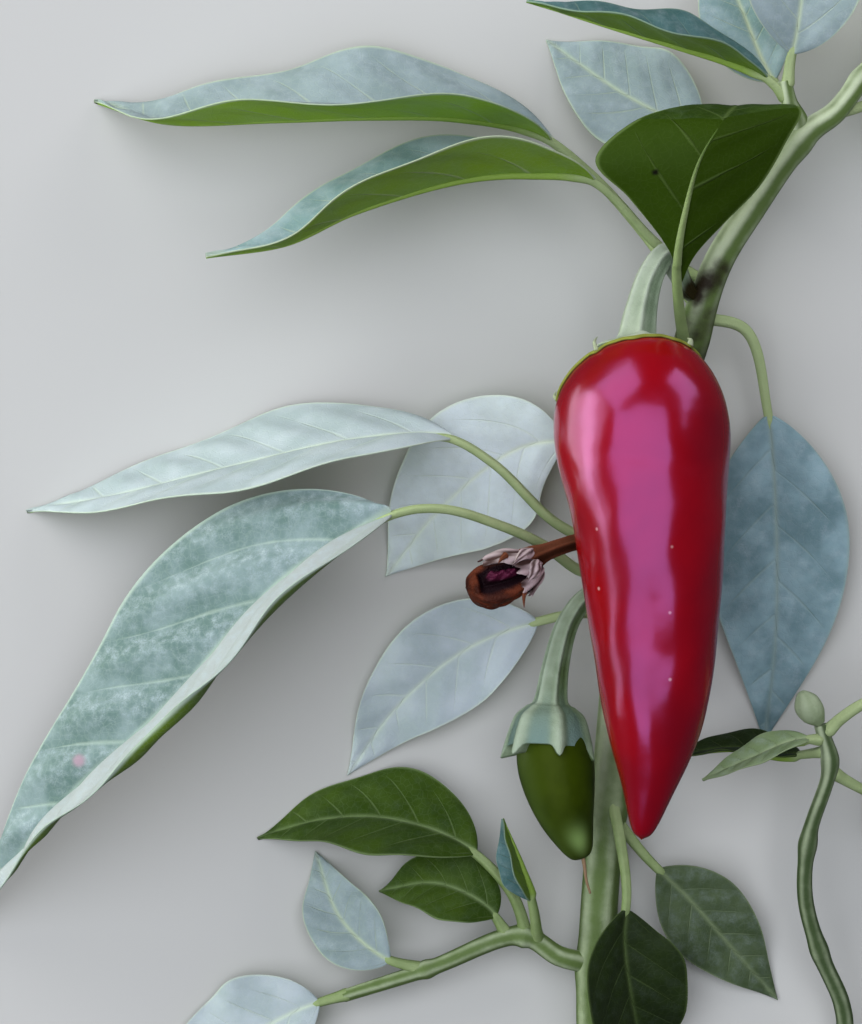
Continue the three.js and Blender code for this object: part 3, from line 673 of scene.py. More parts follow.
# Leaves: the path, the share of it that is stalk, half the width, where the upper face looks at the blade's
# foot, the degrees that each half is folded up, the finish, and what differs from LEAF_HABIT below
LEAVES = {
    "leaf_upper_far": dict(
        path=[(41, 31, 12), (33, 43, 7), (24, 53, 5.5), (16, 58.5, 8), (4, 60.5, 12), (-9, 60.5, 14),
              (-24, 60, 13), (-41, 60, 8), (-52.5, 64, -0.5)],
        stalk=0.32, half_width=13.5, facing=(0, 0.94, 0.34), fold=29, wave=1.1, finish=DUSTY),
    "leaf_upper_near": dict(
        path=[(41.5, 35.5, 11.5), (38, 38, 12.5), (33.5, 42, 14.5), (24.5, 50.5, 16.5), (15, 51.5, 18),
              (4.5, 50.5, 19), (-11.5, 45.5, 20), (-22, 40.5, 21), (-34, 38.5, 23)],
        stalk=0.27, half_width=12.5, taper=1.3, facing=(0, 1, 0.07), fold=29, twist=15, finish=TEAL),
    "leaf_top_left": dict(
        path=[(54.8, 62.3, 19.3), (50.5, 66, 20.5), (45.5, 68.2, 21), (37.5, 70.5, 22), (27, 73.5, 22),
              (14.5, 77.5, 20)],
        stalk=0.12, half_width=7.5, facing=(0, 0.95, 0.3), fold=27, finish=DIM_TEAL),
    "leaf_behind_fork": dict(
        path=[(53, 52, 15), (47, 53.5, 9), (41.5, 58, 7), (29.5, 65, 4), (18, 73.5, -0.5)],
        stalk=0.35, half_width=9, facing=(0.1, 0.3, 1), fold=10, finish=DUSTY),
    "leaf_top": dict(
        path=[(53.8, 65.6, 20), (55.5, 74, 23), (56.5, 86, 23), (56, 99, 18)],
        stalk=0.12, half_width=9, facing=(0, 0, 1), fold=15, finish=DUSTY),
    "leaf_top_inner": dict(
        path=[(54.5, 62, 18.5), (51, 68, 16), (47.5, 77, 14), (43, 88, 9)],
        stalk=0.15, half_width=7, facing=(0, 0, 1), fold=15, finish=TEAL),
    "leaf_right_low": dict(
        path=[(61.5, 60.5, 17), (69, 63, 13.5), (79, 65.5, 8), (93, 66, -0.5)],
        stalk=0.2, half_width=9, facing=(0.3, 0.3, 1), fold=15, finish=PALE),
    "leaf_right_high": dict(
        path=[(70, 71.8, 15.6), (76, 73, 11.5), (83, 78, 8), (91, 87, 2)],
        stalk=0.15, half_width=7, facing=(0, 0, 1), fold=15, finish=PALE),
    "leaf_middle_far": dict(
        path=[(31.2, -6, 7), (25, -4.5, 8.5), (19, -1.5, 10), (9.5, 7.5, 13), (2, 11.5, 14),
              (-11.5, 11, 14), (-30, 7, 11), (-48.5, 2.5, 6), (-63, 0, -0.5)],
        stalk=0.33, half_width=13, facing=(0, 0.92, 0.39), fold=8, finish=PALE),
    "leaf_middle_near": dict(
        path=[(31, -8.5, 8.5), (27, -9.5, 10), (23, -9, 12), (17.5, -5.2, 15), (10.5, -2, 20),
              (1.5, 0.5, 24), (-6, -0.5, 25.5), (-22.5, -10.5, 25), (-39.5, -29, 22), (-57, -45.5, 14),
              (-73.5, -67, -0.5)],
        stalk=0.3, half_width=17.5, facing=(-0.45, 0.68, 0.62), fold=27, finish=BLOOMED,
        taper=1.4, widest_at=0.32, wave=0.4, puff=2.2, sweep=1.25, pale_half=-1, rolled_half=-1,
        vein_spacing=15, spot=(-53.5, -38.0, 13.0, 1.3)),
    "leaf_middle_back": dict(
        path=[(36, 11, 8.5), (26, 11, 6), (14, 10, 5), (2, 1, 3), (-7, -10, -0.5)],
        stalk=0.3, half_width=11, facing=(0, 0, 1), fold=8, finish=WHITISH),
    "leaf_low_back": dict(
        path=[(29.5, -15, 6), (18.5, -16.5, 5.5), (6, -21, 4), (-5, -30, 2), (-13, -41, -0.5)],
        stalk=0.25, half_width=8, facing=(0, 0, 1), fold=8, finish=PALE),
    "leaf_hanging_right": dict(
        path=[(41, 30, 11), (48.5, 28, 9), (52, 16, 6), (53.5, -1, 4), (53.5, -20, 2.5), (52, -36, -0.5)],
        stalk=0.3, half_width=11, facing=(0, 0, 1), fold=8, finish=HANGING),
    "leaf_foot_near": dict(
        path=[(27.4, -42, 5.3), (29, -50, 10), (30, -58, 11.5), (29.6, -66, 10.5), (31, -76, 8),
              (34, -88.5, -0.5)],
        stalk=0.4, half_width=9, facing=(0.45, 0, 1), fold=22, finish=DEEP_SHADED),
    "leaf_foot_right": dict(
        path=[(27.5, -46, 5), (33, -53, 6.5), (40, -60, 4), (47, -68, 2), (54, -76, -0.5)],
        stalk=0.3, half_width=6.5, facing=(0, 0, 1), fold=8, finish=MIST_GREEN),
    "leaf_low_green": dict(
        path=[(12, -65.3, 6.4), (8, -60.5, 8), (1, -57.5, 7.5), (-8, -59, 3)],
        stalk=0.15, half_width=6, facing=(0, 0.6, 0.8), fold=15, finish=GREEN),
    "leaf_low_left": dict(
        path=[(15, -65.2, 6.6), (12, -58, 9.5), (4.5, -51, 9.5), (-7, -47.5, 6.5), (-17, -48, 3),
              (-27, -51, -0.5)],
        stalk=0.3, half_width=9, facing=(0, 0.75, 0.66), fold=12, finish=GREEN),
    "leaf_low_folded": dict(
        path=[(16.5, -66.6, 7), (15.5, -60, 12), (13.8, -54.5, 13.5), (11, -47, 12.5)],
        stalk=0.4, half_width=3.2, facing=(-0.8, 0, 0.6), fold=50, wave=0.2, finish=DIM_TEAL),
    "leaf_twig_middle": dict(
        path=[(-1, -70.6, 6), (-7, -69, 6.5), (-14, -63, 4), (-18, -53, -0.5)],
        stalk=0.2, half_width=5.5, facing=(0, 0, 1), fold=12, finish=DUSTY),
    "leaf_twig_end": dict(
        path=[(-12.5, -74.6, 4.6), (-20, -77, 4.5), (-30, -82, 3), (-43, -86, -0.5)],
        stalk=0.15, half_width=8.5, facing=(0, 0.3, 1), fold=12, finish=PALE),
    "leaf_shoot_front": dict(
        path=[(60.5, -34.5, 15.5), (55, -35, 17.5), (49, -37.5, 17), (41.5, -41, 15)],
        stalk=0.15, half_width=2.6, facing=(0, 0.8, 0.6), fold=20, wave=0.2, finish=LIGHT_GREEN),
    "leaf_shoot_back": dict(
        path=[(60.8, -36.5, 14.8), (54, -37.5, 10), (47, -36.5, 8), (37, -38, 7)],
        stalk=0.2, half_width=4, facing=(0, 0.9, 0.4), fold=20, wave=0.3, finish=DEEP_SHADED),
    "leaf_shoot_high": dict(
        path=[(60, -33.5, 15.8), (66, -29, 19), (73, -27.5, 16), (84, -32, 8), (93, -41, -0.5)],
        stalk=0.35, half_width=8, facing=(0.3, 0.6, 0.7), fold=15, finish=LIGHT_GREEN),
    "leaf_shoot_low": dict(
        path=[(60.7, -39.5, 14.7), (67, -43, 11), (76, -47, 7), (90, -56, -0.5)],
        stalk=0.25, half_width=7.5, facing=(0.3, 0.4, 0.9), fold=15, finish=SHADED),
}
LARGE_LEAVES = ("leaf_upper_far", "leaf_upper_near", "leaf_middle_far", "leaf_middle_near")
LARGE_GRID = (220, 81)
SMALL_GRID = (130, 49)

# What a leaf has where its entry doesn't say otherwise: the power that narrows the blade, the share of it
# at its widest, the degrees that it twists by its tip, the height of the margin's wave and of the swellings
# between the veins, the veins' forward sweep, the side painted paler as a sheen of light and the one that is
# rolled up at its margin, each by its sign, the distance between its veins, and a spot
LEAF_HABIT = dict(
    taper=1.12, widest_at=0.39, twist=0, wave=0.6, puff=1, sweep=0.8, pale_half=0, rolled_half=0,
    vein_spacing=None, spot=None)


def blade_columns(count):
    """Places across a blade from one margin to the other, closer together at the midrib and the margins."""
    even = np.linspace(-1, 1, count)
    return np.sign(even) * (0.5 - 0.5 * np.cos(math.pi * np.abs(even))) ** 0.85


# The side veins: the bend in their lead, in lead for each square millimetre across, the shift between the
# two halves in spacings, and the phase at the blade's foot
VEIN_CURVE = 0.022
VEIN_OFFSET = 0.4
FIRST_PHASE = 40


def vein_marks(across, along, spacing, share, out, sweep):
    """Point values of a blade. Side veins leave the midrib forwards and bend towards the tip: the phase is
    the place along the blade less a lead that grows with the distance across, in vein spacings. It is
    shifted by under half a spacing from one side of the midrib to the other, and starts well above 0."""
    lead = sweep * np.abs(across) + VEIN_CURVE * across ** 2
    phase = (along - lead) / spacing + VEIN_OFFSET * smooth_step(across, -0.3, 0.3)
    return {"vein_phase": phase + FIRST_PHASE, "out": np.abs(out),
            "midrib": bell(across, 0, 0.35) * (1 - 0.5 * share),
            "margin": smooth_step(np.abs(out), 0.955, 0.99)}


def half_thickness_at(out, rows):
    """Half the blade's thickness at places across it, less towards the margins by a power of the place."""
    return 0.5 * LEAF_THICKNESS * (1 - 0.6 * np.abs(out) ** 6) * np.ones((rows, 1))


def two_faced(middle_face, raise_by, half_thickness, marks):
    """Rings round a blade: its upper face from one margin to the other, and its underside back again."""
    upper = middle_face + raise_by * half_thickness[..., None]
    under = middle_face - raise_by * half_thickness[..., None]
    rings = np.concatenate([upper, under[:, ::-1]], axis=1)
    full = {name: np.concatenate([value, value[:, ::-1]], axis=1) for name, value in marks.items()}
    rows, columns = half_thickness.shape
    full["underside"] = np.concatenate([np.zeros((rows, columns)), np.ones((rows, columns))], axis=1)
    return rings, full


def puffed(marks, out, height):
    """How far the blade swells between its side veins: a squared sine of the vein phase, fading to nothing
    at the midrib and the margin."""
    window = np.sin(math.pi * np.abs(out) ** 0.8)
    return height * np.sin(math.pi * marks["vein_phase"]) ** 2 * window


def spot_mark(face, spot):
    """A small round spot with a soft edge, given as its place and radius."""
    if not spot:
        return np.zeros(face.shape[:2])
    radius = spot[3]
    from_spot = np.linalg.norm((face - spot[:3])[..., :2], axis=-1)
    return smooth_step(-from_spot, -radius, -0.4 * radius)


# A rolled margin starts at ROLL_START of the way out, takes up ROLL_WIDTH of it and turns by ROLL_TURN.
# The swellings rise by PUFF_SHARE of the vein spacing.
ROLL_START = 0.97
ROLL_WIDTH = 0.20
ROLL_TURN = 2.2
ROLLS_PER_BLADE = 3.4
WAVES_PER_BLADE = 2.5
PUFF_SHARE = 0.045
EDGE_HALF_WIDTH = 0.35


def half_width_at(share, leaf):
    """Half the blade's width: a sine arch leaned towards its widest share and raised to the taper, on a
    narrow strip that comes to a point."""
    lean = math.log(0.5) / math.log(leaf["widest_at"])
    arch = np.abs(np.sin(math.pi * share ** lean)) ** leaf["taper"]
    return EDGE_HALF_WIDTH * (1 - 0.75 * share ** 8) + leaf["half_width"] * arch


def rolled(distance, reach, turn):
    """A half blade whose outer part is rolled up on an arc: how far its places lie along the half's own
    plane and above it, and how far they have turned. The arc takes up the part beyond ROLL_START."""
    start = ROLL_START * reach
    turned = np.maximum(distance - start, 0) / (ROLL_WIDTH * reach) * turn
    arc = ROLL_WIDTH * reach / turn
    return np.minimum(distance, start) + arc * np.sin(turned), arc * (1 - np.cos(turned)), turned


def twisted(normal, side, share, degrees):
    """Frames turned about the path, the more the nearer they are to the tip."""
    turn = math.radians(degrees) * smooth_step(share, 0.15, 1.0)
    return normal * np.cos(turn) - side * np.sin(turn), side * np.cos(turn) + normal * np.sin(turn)


def folded(leaf, share, out, reach):
    """How far a blade's places lie to the side of its midrib and above it, and how far the face has turned
    there. Each half is raised by the fold and waves by a sine that grows towards the margin. The margin of
    a rolled half turns up and in, more in some stretches than in others."""
    fold = math.radians(leaf["fold"])
    in_roll = np.where(out * leaf["rolled_half"] > 0, 1.0, 0.0)
    stretch = 1 + (ROLL_START + ROLL_WIDTH - 1) * in_roll
    gate = np.sin(math.pi * share) * (0.55 - 0.45 * np.cos(2 * math.pi * ROLLS_PER_BLADE * share))
    turn = 0.01 + ROLL_TURN * gate * in_roll
    along, above, turned = rolled(np.abs(out) * reach * stretch, reach, turn)
    ripple = np.sin(2 * math.pi * WAVES_PER_BLADE * share + 2 * out) * np.sin(math.pi * share)
    raised = along * math.sin(fold) + above * math.cos(fold) + leaf["wave"] * out ** 2 * ripple
    aside = np.sign(out) * (along * math.cos(fold) - above * math.sin(fold))
    return aside, raised, turned


def blade_shell(leaf, rows, columns):
    """A blade in two folded halves, with its veins, the swellings between them and its spot. What would
    pass through the floor is pressed flat on it."""
    share = np.linspace(0, 1, rows)[:, None]
    out = blade_columns(columns)[None, :]
    middle = path_at(leaf["path"], leaf["stalk"] + (1 - leaf["stalk"]) * share[:, 0])
    _, normal, side = frames_along(middle, leaf["facing"])
    normal, side = twisted(normal, side, share, leaf["twist"])
    reach = half_width_at(share, leaf)
    length = path_length(leaf["path"]) * (1 - leaf["stalk"])
    spacing = leaf["vein_spacing"] or min(SIDE_VEIN_SPACING, length / 6)
    marks = vein_marks(out * reach, share * length, spacing, share, out, leaf["sweep"])
    # Painted sheen: the half that the sign picks is painted paler, as if light glanced off it.
    marks["pale_half"] = smooth_step(out * leaf["pale_half"] * reach, 0.1, 1.0)
    aside, raised, turned = folded(leaf, share, out, reach)
    raised = raised + puffed(marks, out, PUFF_SHARE * spacing * leaf["puff"])
    face = middle[:, None] + off_path(side, normal, aside, raised)
    marks["spot"] = spot_mark(face, leaf["spot"])
    half = half_thickness_at(out, rows)
    raise_by = off_path(side, normal, -np.sign(out) * np.sin(turned), np.cos(turned))
    rings, full = two_faced(face, raise_by, half, marks)
    pressed = np.concatenate([2 * half, 0 * half], axis=1)
    rings[..., 2] = np.maximum(rings[..., 2], pressed)
    return rings, full


# A leaf stalk's foot: how deep it sits in the stem, how far up it is drawn there, and how much it flares
FOOT_DEPTH = 1.6
FOOT_LENGTH = 3.5
FOOT_FLARE = 0.20
STEM_MIDDLES = np.concatenate([
    path_at(stem["path"], np.linspace(0, 1 - FOOT_DEPTH / path_length(stem["path"]), 400))
    for stem in STEMS.values()])


def rooted(middle):
    """A leaf stalk's middle line with its foot drawn to the nearest point on a stem's middle line, so that
    the stalk grows out of the stem. The pull fades along FOOT_LENGTH."""
    away = STEM_MIDDLES - middle[0]
    nearest = away[np.argmin(np.linalg.norm(away, axis=1))]
    return middle + smooth_step(-run_along(middle), -FOOT_LENGTH, 0)[:, None] * nearest


def foot_swell(middle):
    """The growth of a stalk's radius near its foot: slim where it is buried, and flared where it leaves."""
    along = run_along(middle)
    buried = 1 - 0.5 * smooth_step(-along, -0.8 * FOOT_DEPTH, 0)
    return buried * (1 + FOOT_FLARE * smooth_step(-along, -FOOT_LENGTH, 0))


# A leaf's stalk and midrib: the rows and sides of its mesh, the radius left at its tip, and its least height
RIB_ROWS = 150
RIB_SIDES = 20
RIB_TIP_RADIUS = 0.08
RIB_FLOOR_GAP = 0.05


def rib_shell(leaf_path, stalk, facing, thinning=1.0, blade_end=0.97, merging=(0.0, 0.12)):
    """The leaf's stalk, which runs on under the blade as its midrib and thins out to the tip. It has a
    shallow channel along its upper side, which is painted paler as the lit side, sinks below the blade's
    middle and takes on its colour there."""
    share = np.linspace(0, blade_end, RIB_ROWS)
    middle = rooted(path_at(leaf_path, share))
    _, normal, side = frames_along(middle, facing)
    on_blade = np.clip((share - stalk) / (blade_end + 0.03 - stalk), 0, 1)
    slimmed = LEAF_STALK_RADIUS * (1 - 0.30 * np.minimum(share / stalk, 1))
    radius = (slimmed * (1 - on_blade) ** thinning + RIB_TIP_RADIUS) * foot_swell(middle)
    middle = middle - normal * (0.55 * radius * smooth_step(on_blade, 0.0, 0.06))[:, None]
    angle = np.linspace(0, 2 * math.pi, RIB_SIDES, endpoint=False)[None, :]
    channel = 1 - 0.22 * bell(np.abs(angle - math.pi / 2), 0, 0.5) + 0.04 * np.cos(5 * angle)
    around = off_path(side, normal, np.cos(angle), np.sin(angle))
    rings = middle[:, None] + (radius[:, None] * channel)[..., None] * around
    rings[..., 2] = np.maximum(rings[..., 2], RIB_FLOOR_GAP)
    # Painted light: the ridge mark here is highest on the stalk's upper side, so the top is paler.
    ridge = 0.5 + 0.5 * np.cos(angle - math.pi / 2) * np.ones((RIB_ROWS, 1))
    as_blade = smooth_step(on_blade, *merging)[:, None] * np.ones((1, RIB_SIDES))
    # Painted shade: the stalk is darker low on the branch.
    return rings, {"ridge": ridge, "rim": as_blade, "green_side": low_shade(rings)}


def make_leaves():
    """Each leaf as one piece: its blade, and its stalk that runs on as the midrib."""
    for name, entry in LEAVES.items():
        leaf = LEAF_HABIT | entry
        rows, columns = LARGE_GRID if name in LARGE_LEAVES else SMALL_GRID
        blade = blade_shell(leaf, rows, columns)
        rib = rib_shell(leaf["path"], leaf["stalk"], leaf["facing"])
        make_piece(name + "_blade", [(*blade, 0), (*rib, 1)], [leaf["finish"], STALK], [name])


# The broad leaf over the fork, seen from below: its stalk, its midrib and its two margins, where its
# underside looks, and its spot. RAIL_END is the share that is left out at each end of the midrib.
FORK_LEAF = dict(
    stalk=[(39.5, 23, 11), (38.5, 27, 15.5), (37.7, 31, 19)],
    midrib=[(37.3, 34.0, 22.0), (37, 38, 25.6), (38.1, 45.6, 30.5), (40, 52.5, 33.5), (43, 57.5, 33),
            (45.5, 60.5, 28), (47, 61.5, 20)],
    left=[(37.1, 34.0, 22.0), (36.2, 38.6, 25.6), (29.7, 47, 29), (24.6, 52.5, 30), (30, 58.2, 29.5),
          (38, 61, 27), (47, 61.5, 20)],
    right=[(37.6, 34.0, 22.0), (39.7, 38.6, 25.0), (44.0, 43.4, 27), (49.3, 48.9, 28), (53.4, 55.8, 27.5),
           (55.6, 60.6, 26.5), (47, 61.5, 20)],
    facing=(-0.2, 0.6, -0.75), spot=(33.4, 50.8, 30.0, 0.62))
RAIL_END = 0.03
KEEL = 1.5
FORK_VEIN_SPACING = 8.5
FORK_PUFF = 0.35


def make_fork_leaf():
    """Each half leaves the midrib in a shallow curve, a power of the place across, and ends on its margin.
    The midrib stands out under the blade as a thick rib."""
    rows, columns = 200, 91
    share = np.linspace(RAIL_END, 1 - RAIL_END, rows)
    out = blade_columns(columns)[None, :]
    middle, left, right = (curve_at(FORK_LEAF[rail], share)[:, None]
                           for rail in ("midrib", "left", "right"))
    on_left = out[..., None] > 0
    margin = np.where(on_left, left, right)
    other = np.where(on_left, right, left)
    spread = np.abs(out)[..., None]
    face = middle + spread * (margin - other) / 2 + spread ** KEEL * ((margin + other) / 2 - middle)
    across = out * np.linalg.norm(margin - middle, axis=2)
    along = share[:, None] * path_length(FORK_LEAF["midrib"])
    marks = vein_marks(across, along, FORK_VEIN_SPACING, share[:, None], out, LEAF_HABIT["sweep"])
    raise_by = unit(np.array(FORK_LEAF["facing"]))
    face = face + raise_by * puffed(marks, out, FORK_PUFF)[..., None]
    marks["spot"] = spot_mark(face, FORK_LEAF["spot"])
    blade = two_faced(face, raise_by, half_thickness_at(out, rows), marks)
    rib_path = FORK_LEAF["stalk"] + FORK_LEAF["midrib"][1:]
    rib = rib_shell(rib_path, 0.33, FORK_LEAF["facing"], thinning=1.1, blade_end=0.74,
                    merging=(0.35, 0.95))
    make_piece("leaf_over_fork_blade", [(*blade, 0), (*rib, 1)], [SHADED, MIDRIB],
               ["leaf_over_fork"])


# Fruit: the crown, the axis in shares of the length, and the outline in shares of length and radius
RIPE_FRUIT = dict(
    crown=(31.2, 24, 20.5), length=RIPE_LENGTH, radius=RIPE_RADIUS,
    axis=[(0, 0, 0), (0.005, -0.067, 0.044), (0.011, -0.2, 0.093), (0.024, -0.413, 0.124),
          (0.032, -0.64, 0.135), (0.024, -0.8, 0.14), (0.003, -0.973, 0.14)],
    outline=[(0, 0), (0.012, 0.31), (0.05, 0.72), (0.1, 0.93), (0.18, 1), (0.35, 0.89), (0.56, 0.75),
             (0.76, 0.565), (0.91, 0.28), (0.98, 0.13), (1, 0)])
GREEN_FRUIT = dict(
    crown=(18.6, -31, 14), length=GREEN_LENGTH, radius=GREEN_RADIUS,
    axis=[(0, 0, 0), (0.018, -0.31, 0.044), (0.088, -0.66, 0.088), (0.2, -0.97, 0.088)],
    outline=[(0, 0), (0.02, 0.52), (0.15, 0.9), (0.35, 1), (0.6, 0.84), (0.85, 0.52), (0.97, 0.29), (1, 0)])
DRIED_POD = dict(
    crown=(16, -8.2, 22.3), length=POD_LENGTH, radius=POD_RADIUS,
    axis=[(0, 0, 0), (-0.26, -0.1, 0.06), (-0.61, -0.21, 0.11), (-0.94, -0.28, 0.15)],
    outline=[(0, 0), (0.05, 0.41), (0.35, 0.85), (0.7, 1), (0.93, 0.62), (1, 0)])

# How finely a fruit's axis and its outline are divided
AXIS_STEPS = 600


def outline_at(outline, count):
    """Shares and radii at even steps from corner to corner of a smooth curve through an outline: cubic
    spans whose slope at a corner comes from the corners next to it."""
    points = np.array(outline, float)
    slope = np.gradient(points, axis=0)
    place = np.linspace(0, 1, count) * (len(points) - 1)
    span = np.minimum(place.astype(int), len(points) - 2)
    t = (place - span)[:, None]
    ease = 2 * t ** 3 - 3 * t ** 2
    spread = (1 + ease) * points[span] - ease * points[span + 1]
    spread = spread + (t ** 3 - 2 * t ** 2 + t) * slope[span] + (t ** 3 - t ** 2) * slope[span + 1]
    return np.clip(spread[:, 0], 0, 1), np.maximum(spread[:, 1], 0)


def fruit_skin(fruit, share, angle, shape):
    """Places on a fruit's skin at grids of shares of its length and angles from the side that faces the
    viewer. The radius is the outline's, times a shape that depends on both. Also gives outward normals."""
    fine = np.linspace(0, 1, AXIS_STEPS)
    axis = np.array(fruit["axis"]) * fruit["length"] + np.array(fruit["crown"])
    middle = path_at(axis, fine)
    _, normal, side = frames_along(middle, TOWARDS_VIEWER)
    centre, up, across = (np.stack([np.interp(share, fine, table[:, k]) for k in range(3)], axis=-1)
                          for table in (middle, normal, side))
    outline_share, outline_radius = outline_at(fruit["outline"], AXIS_STEPS)
    reach = np.interp(share, outline_share, outline_radius) * fruit["radius"] * shape(share, angle)
    around = np.sin(angle)[..., None] * across + np.cos(angle)[..., None] * up
    skin = centre + reach[..., None] * around
    leaning = np.cross(np.gradient(skin, axis=1), np.gradient(skin, axis=0))
    leaning = leaning / np.maximum(np.linalg.norm(leaning, axis=2, keepdims=True), 1e-9)
    outward = np.sign((leaning * around).sum(axis=2).mean())
    return skin, leaning * outward


def fruit_rings(fruit, rows, sides, shape):
    """Rings of a whole fruit, with the shares and angles of its corners."""
    share, _ = outline_at(fruit["outline"], rows)
    angle = np.linspace(-math.pi, math.pi, sides, endpoint=False)
    share, angle = np.meshgrid(share, angle, indexing="ij")
    skin, _ = fruit_skin(fruit, share, angle, shape)
    return skin, share, angle


def ripe_shape(share, angle):
    """Three shallow lobes that fade towards the tip, a slow wander of the flanks, small dents and two
    creases across the side that faces the viewer: cosines and sines of the place and bell curves."""
    lobes = 0.022 * np.cos(3 * (angle + 0.5)) * (1 - share) ** 1.3
    wander = 0.012 * np.sin(9 * share + 1.5 * np.sin(angle)) + 0.010 * np.cos(2 * angle + 14 * share)
    dents = 0.007 * np.sin(4 * angle + 27 * share + 2 * np.sin(5 * share)) * smooth_step(share, 0.05, 0.2)
    dents = dents + 0.0035 * np.sin(7 * angle - 41 * share + 1.0) * smooth_step(share, 0.05, 0.3)
    high_crease = -0.028 * bell(share, 0.265 - 0.03 * angle, 0.018) * bell(angle, 0.1, 0.6)
    low_crease = -0.007 * bell(share, 0.625 - 0.03 * angle, 0.034) * bell(angle, 0.0, 0.6)
    return 1 + lobes + wander + dents + high_crease + low_crease


def green_shape(share, angle):
    """Four faint lobes near the crown."""
    return 1 + 0.02 * np.cos(4 * angle) * (1 - share)


# The dried style that hangs from the green fruit's tip
STYLE_PATH = [(23.0, -51.6, 16.0), (23.4, -54.0, 16.4), (23.7, -56.2, 16.3), (24.3, -58.2, 15.9)]
STYLE_RADII = ((0, 0.32), (1, 0.17))


def make_fruit():
    """The ripe fruit, a little paler at its crown, and the green one with a painted highlight by its tip, a
    flank painted paler as the lit side, and its dried style."""
    rings, share, _ = fruit_rings(RIPE_FRUIT, 260, 160, ripe_shape)
    patch = 0.10 * bell(share, 0.02, 0.05)
    make_piece("ripe_fruit_skin", [(rings, {"pale_patch": patch}, 0)], [RIPE_SKIN],
               ["ripe_fruit"])
    rings, share, angle = fruit_rings(GREEN_FRUIT, 140, 96, green_shape)
    # Painted light: a highlight near the tip and a paler flank on the lit side.
    patch = 0.95 * bell(share, 0.86, 0.09) * bell(angle, -0.15, 0.5) + 0.16 * bell(angle, 1.2, 0.5)
    style, ridge = limb_rings(STYLE_PATH, tapered(STYLE_RADII), 40, 12)
    make_piece("green_fruit_skin", [(rings, {"pale_patch": patch}, 0), (style, {"ridge": ridge}, 1)],
               [GREEN_SKIN, THREAD], ["green_fruit"])


# Fruit stalks: the path, the foot's radius, how far back from the end each radius of the flare lies, the
# ribs and their height, and the teeth with how far they reach ahead and what share of that they spread out
RIPE_STALK = dict(
    path=[(40.6, 33.0, 13.0), (38.9, 34.4, 14.6), (37.4, 37.0, 16.8), (35.8, 39.2, 18.3),
          (33.6, 36.4, 18.8), (32, 31, 18.6), (31.2, 25.5, 19.5), (31.2, 23.0, 21.0)],
    foot=1.2, flare=[(12, 2.1), (7, 2.55), (4.2, 2.9), (2.6, 3.7), (1.3, 5.2), (0, 7.0)],
    ribs=6, rib_height=0.17, teeth=0, tooth_length=0, droop=0)
GREEN_STALK = dict(
    path=[(30, -13, 6.5), (26.5, -12, 8.5), (23.8, -13.2, 10.5), (21, -17, 12.2), (19.2, -23, 13.5),
          (18.4, -28.5, 14), (18.2, -31.5, 14.2), (17.9, -36.0, 14.9)],
    foot=1.2, flare=[(20, 1.6), (16, 1.75), (11, 2.0), (7.2, 2.45), (6.2, 3.6), (4.8, 5.0), (2.4, 5.85),
                     (0, 6.3)],
    ribs=6, rib_height=0.20, teeth=6, tooth_length=1.8, droop=0.35)
DRIED_STALK = dict(
    path=[(32, -4.5, 10), (27.5, -4.3, 15), (23, -4.4, 19.5), (19, -5.5, 21.6), (15.8, -6.8, 22.6),
          (14.4, -7.6, 22.8)],
    foot=1.15, flare=[(9, 1.08), (5, 1.12), (3, 1.25), (1.4, 1.7), (0, 2.1)],
    ribs=5, rib_height=0.30, teeth=0, tooth_length=0, droop=0)


def stalk_rings(stalk, rows, sides):
    """A stalk that flares into a cup over the fruit's shoulder, from the third radius of its flare on.
    Ribs, powers of a cosine, run down it into teeth, which carry the rim on past its end and outwards. The
    rim is rolled in a little, so that it reads as a thin lip."""
    length = path_length(stalk["path"])
    outline = [(0, stalk["foot"])] + [(1 - back / length, radius) for back, radius in stalk["flare"]]
    share, radius = outline_at(outline, rows)
    middle = path_at(stalk["path"], share)
    tangent, normal, side = frames_along(middle, TOWARDS_VIEWER)
    angle = np.linspace(0, 2 * math.pi, sides, endpoint=False)[None, :]
    rib = (0.5 + 0.5 * np.cos(stalk["ribs"] * angle)) ** 3
    tooth = (0.5 + 0.5 * np.cos(stalk["teeth"] * angle)) ** 9
    cup = smooth_step(share, 1 - stalk["flare"][2][0] / length, 1.0)[:, None]
    reach = radius[:, None] * (1 + stalk["rib_height"] * (rib - 0.3) * (1 - 0.35 * cup))
    ahead = stalk["tooth_length"] * tooth * cup ** 8
    around = off_path(side, normal, np.cos(angle), np.sin(angle))
    rings = middle[:, None] + (reach + stalk["droop"] * ahead)[..., None] * around
    rings = rings + tangent[:, None] * ahead[..., None]
    lip = rings[-1:] - 0.25 * around[-1:] + 0.12 * tangent[-1:, None]
    inner = rings[-1:] - 1.6 * around[-1:] - 0.2 * tangent[-1:, None]
    rings = np.concatenate([rings, lip, inner])
    shown = 0.55 + 0.45 * cup if stalk["teeth"] else 0.6
    between = cup * (1 - rib) ** 3 if stalk["teeth"] else np.zeros((rows, sides))
    ridge = 0.3 + (rib - 0.3) * shown * np.ones((rows, 1))
    folded_in = np.zeros((2, sides))
    # Painted shade: the knot's halo under the fork, and the side away from the light at 0.7.
    return rings, {"ridge": np.concatenate([ridge, folded_in]), "rim": np.concatenate([between, folded_in]),
                   "scar": knot_and_shade_mark(rings), "green_side": 0.7 * painted_shade_side_mark(rings)}


# The calyx's rim, in shares of the fruit's length from its crown, and its drop on the left flank
RIM_SHARE = 0.056
RIM_DROP = 0.040
# The angle, the height and the foot's radius of each tooth on the rim
CAP_TEETH = ((0.66, 2.7, 0.40), (1.62, 1.3, 0.40), (2.60, 1.4, 0.45), (-2.75, 1.4, 0.45),
             (-1.75, 1.2, 0.42), (-0.80, 1.5, 0.58))


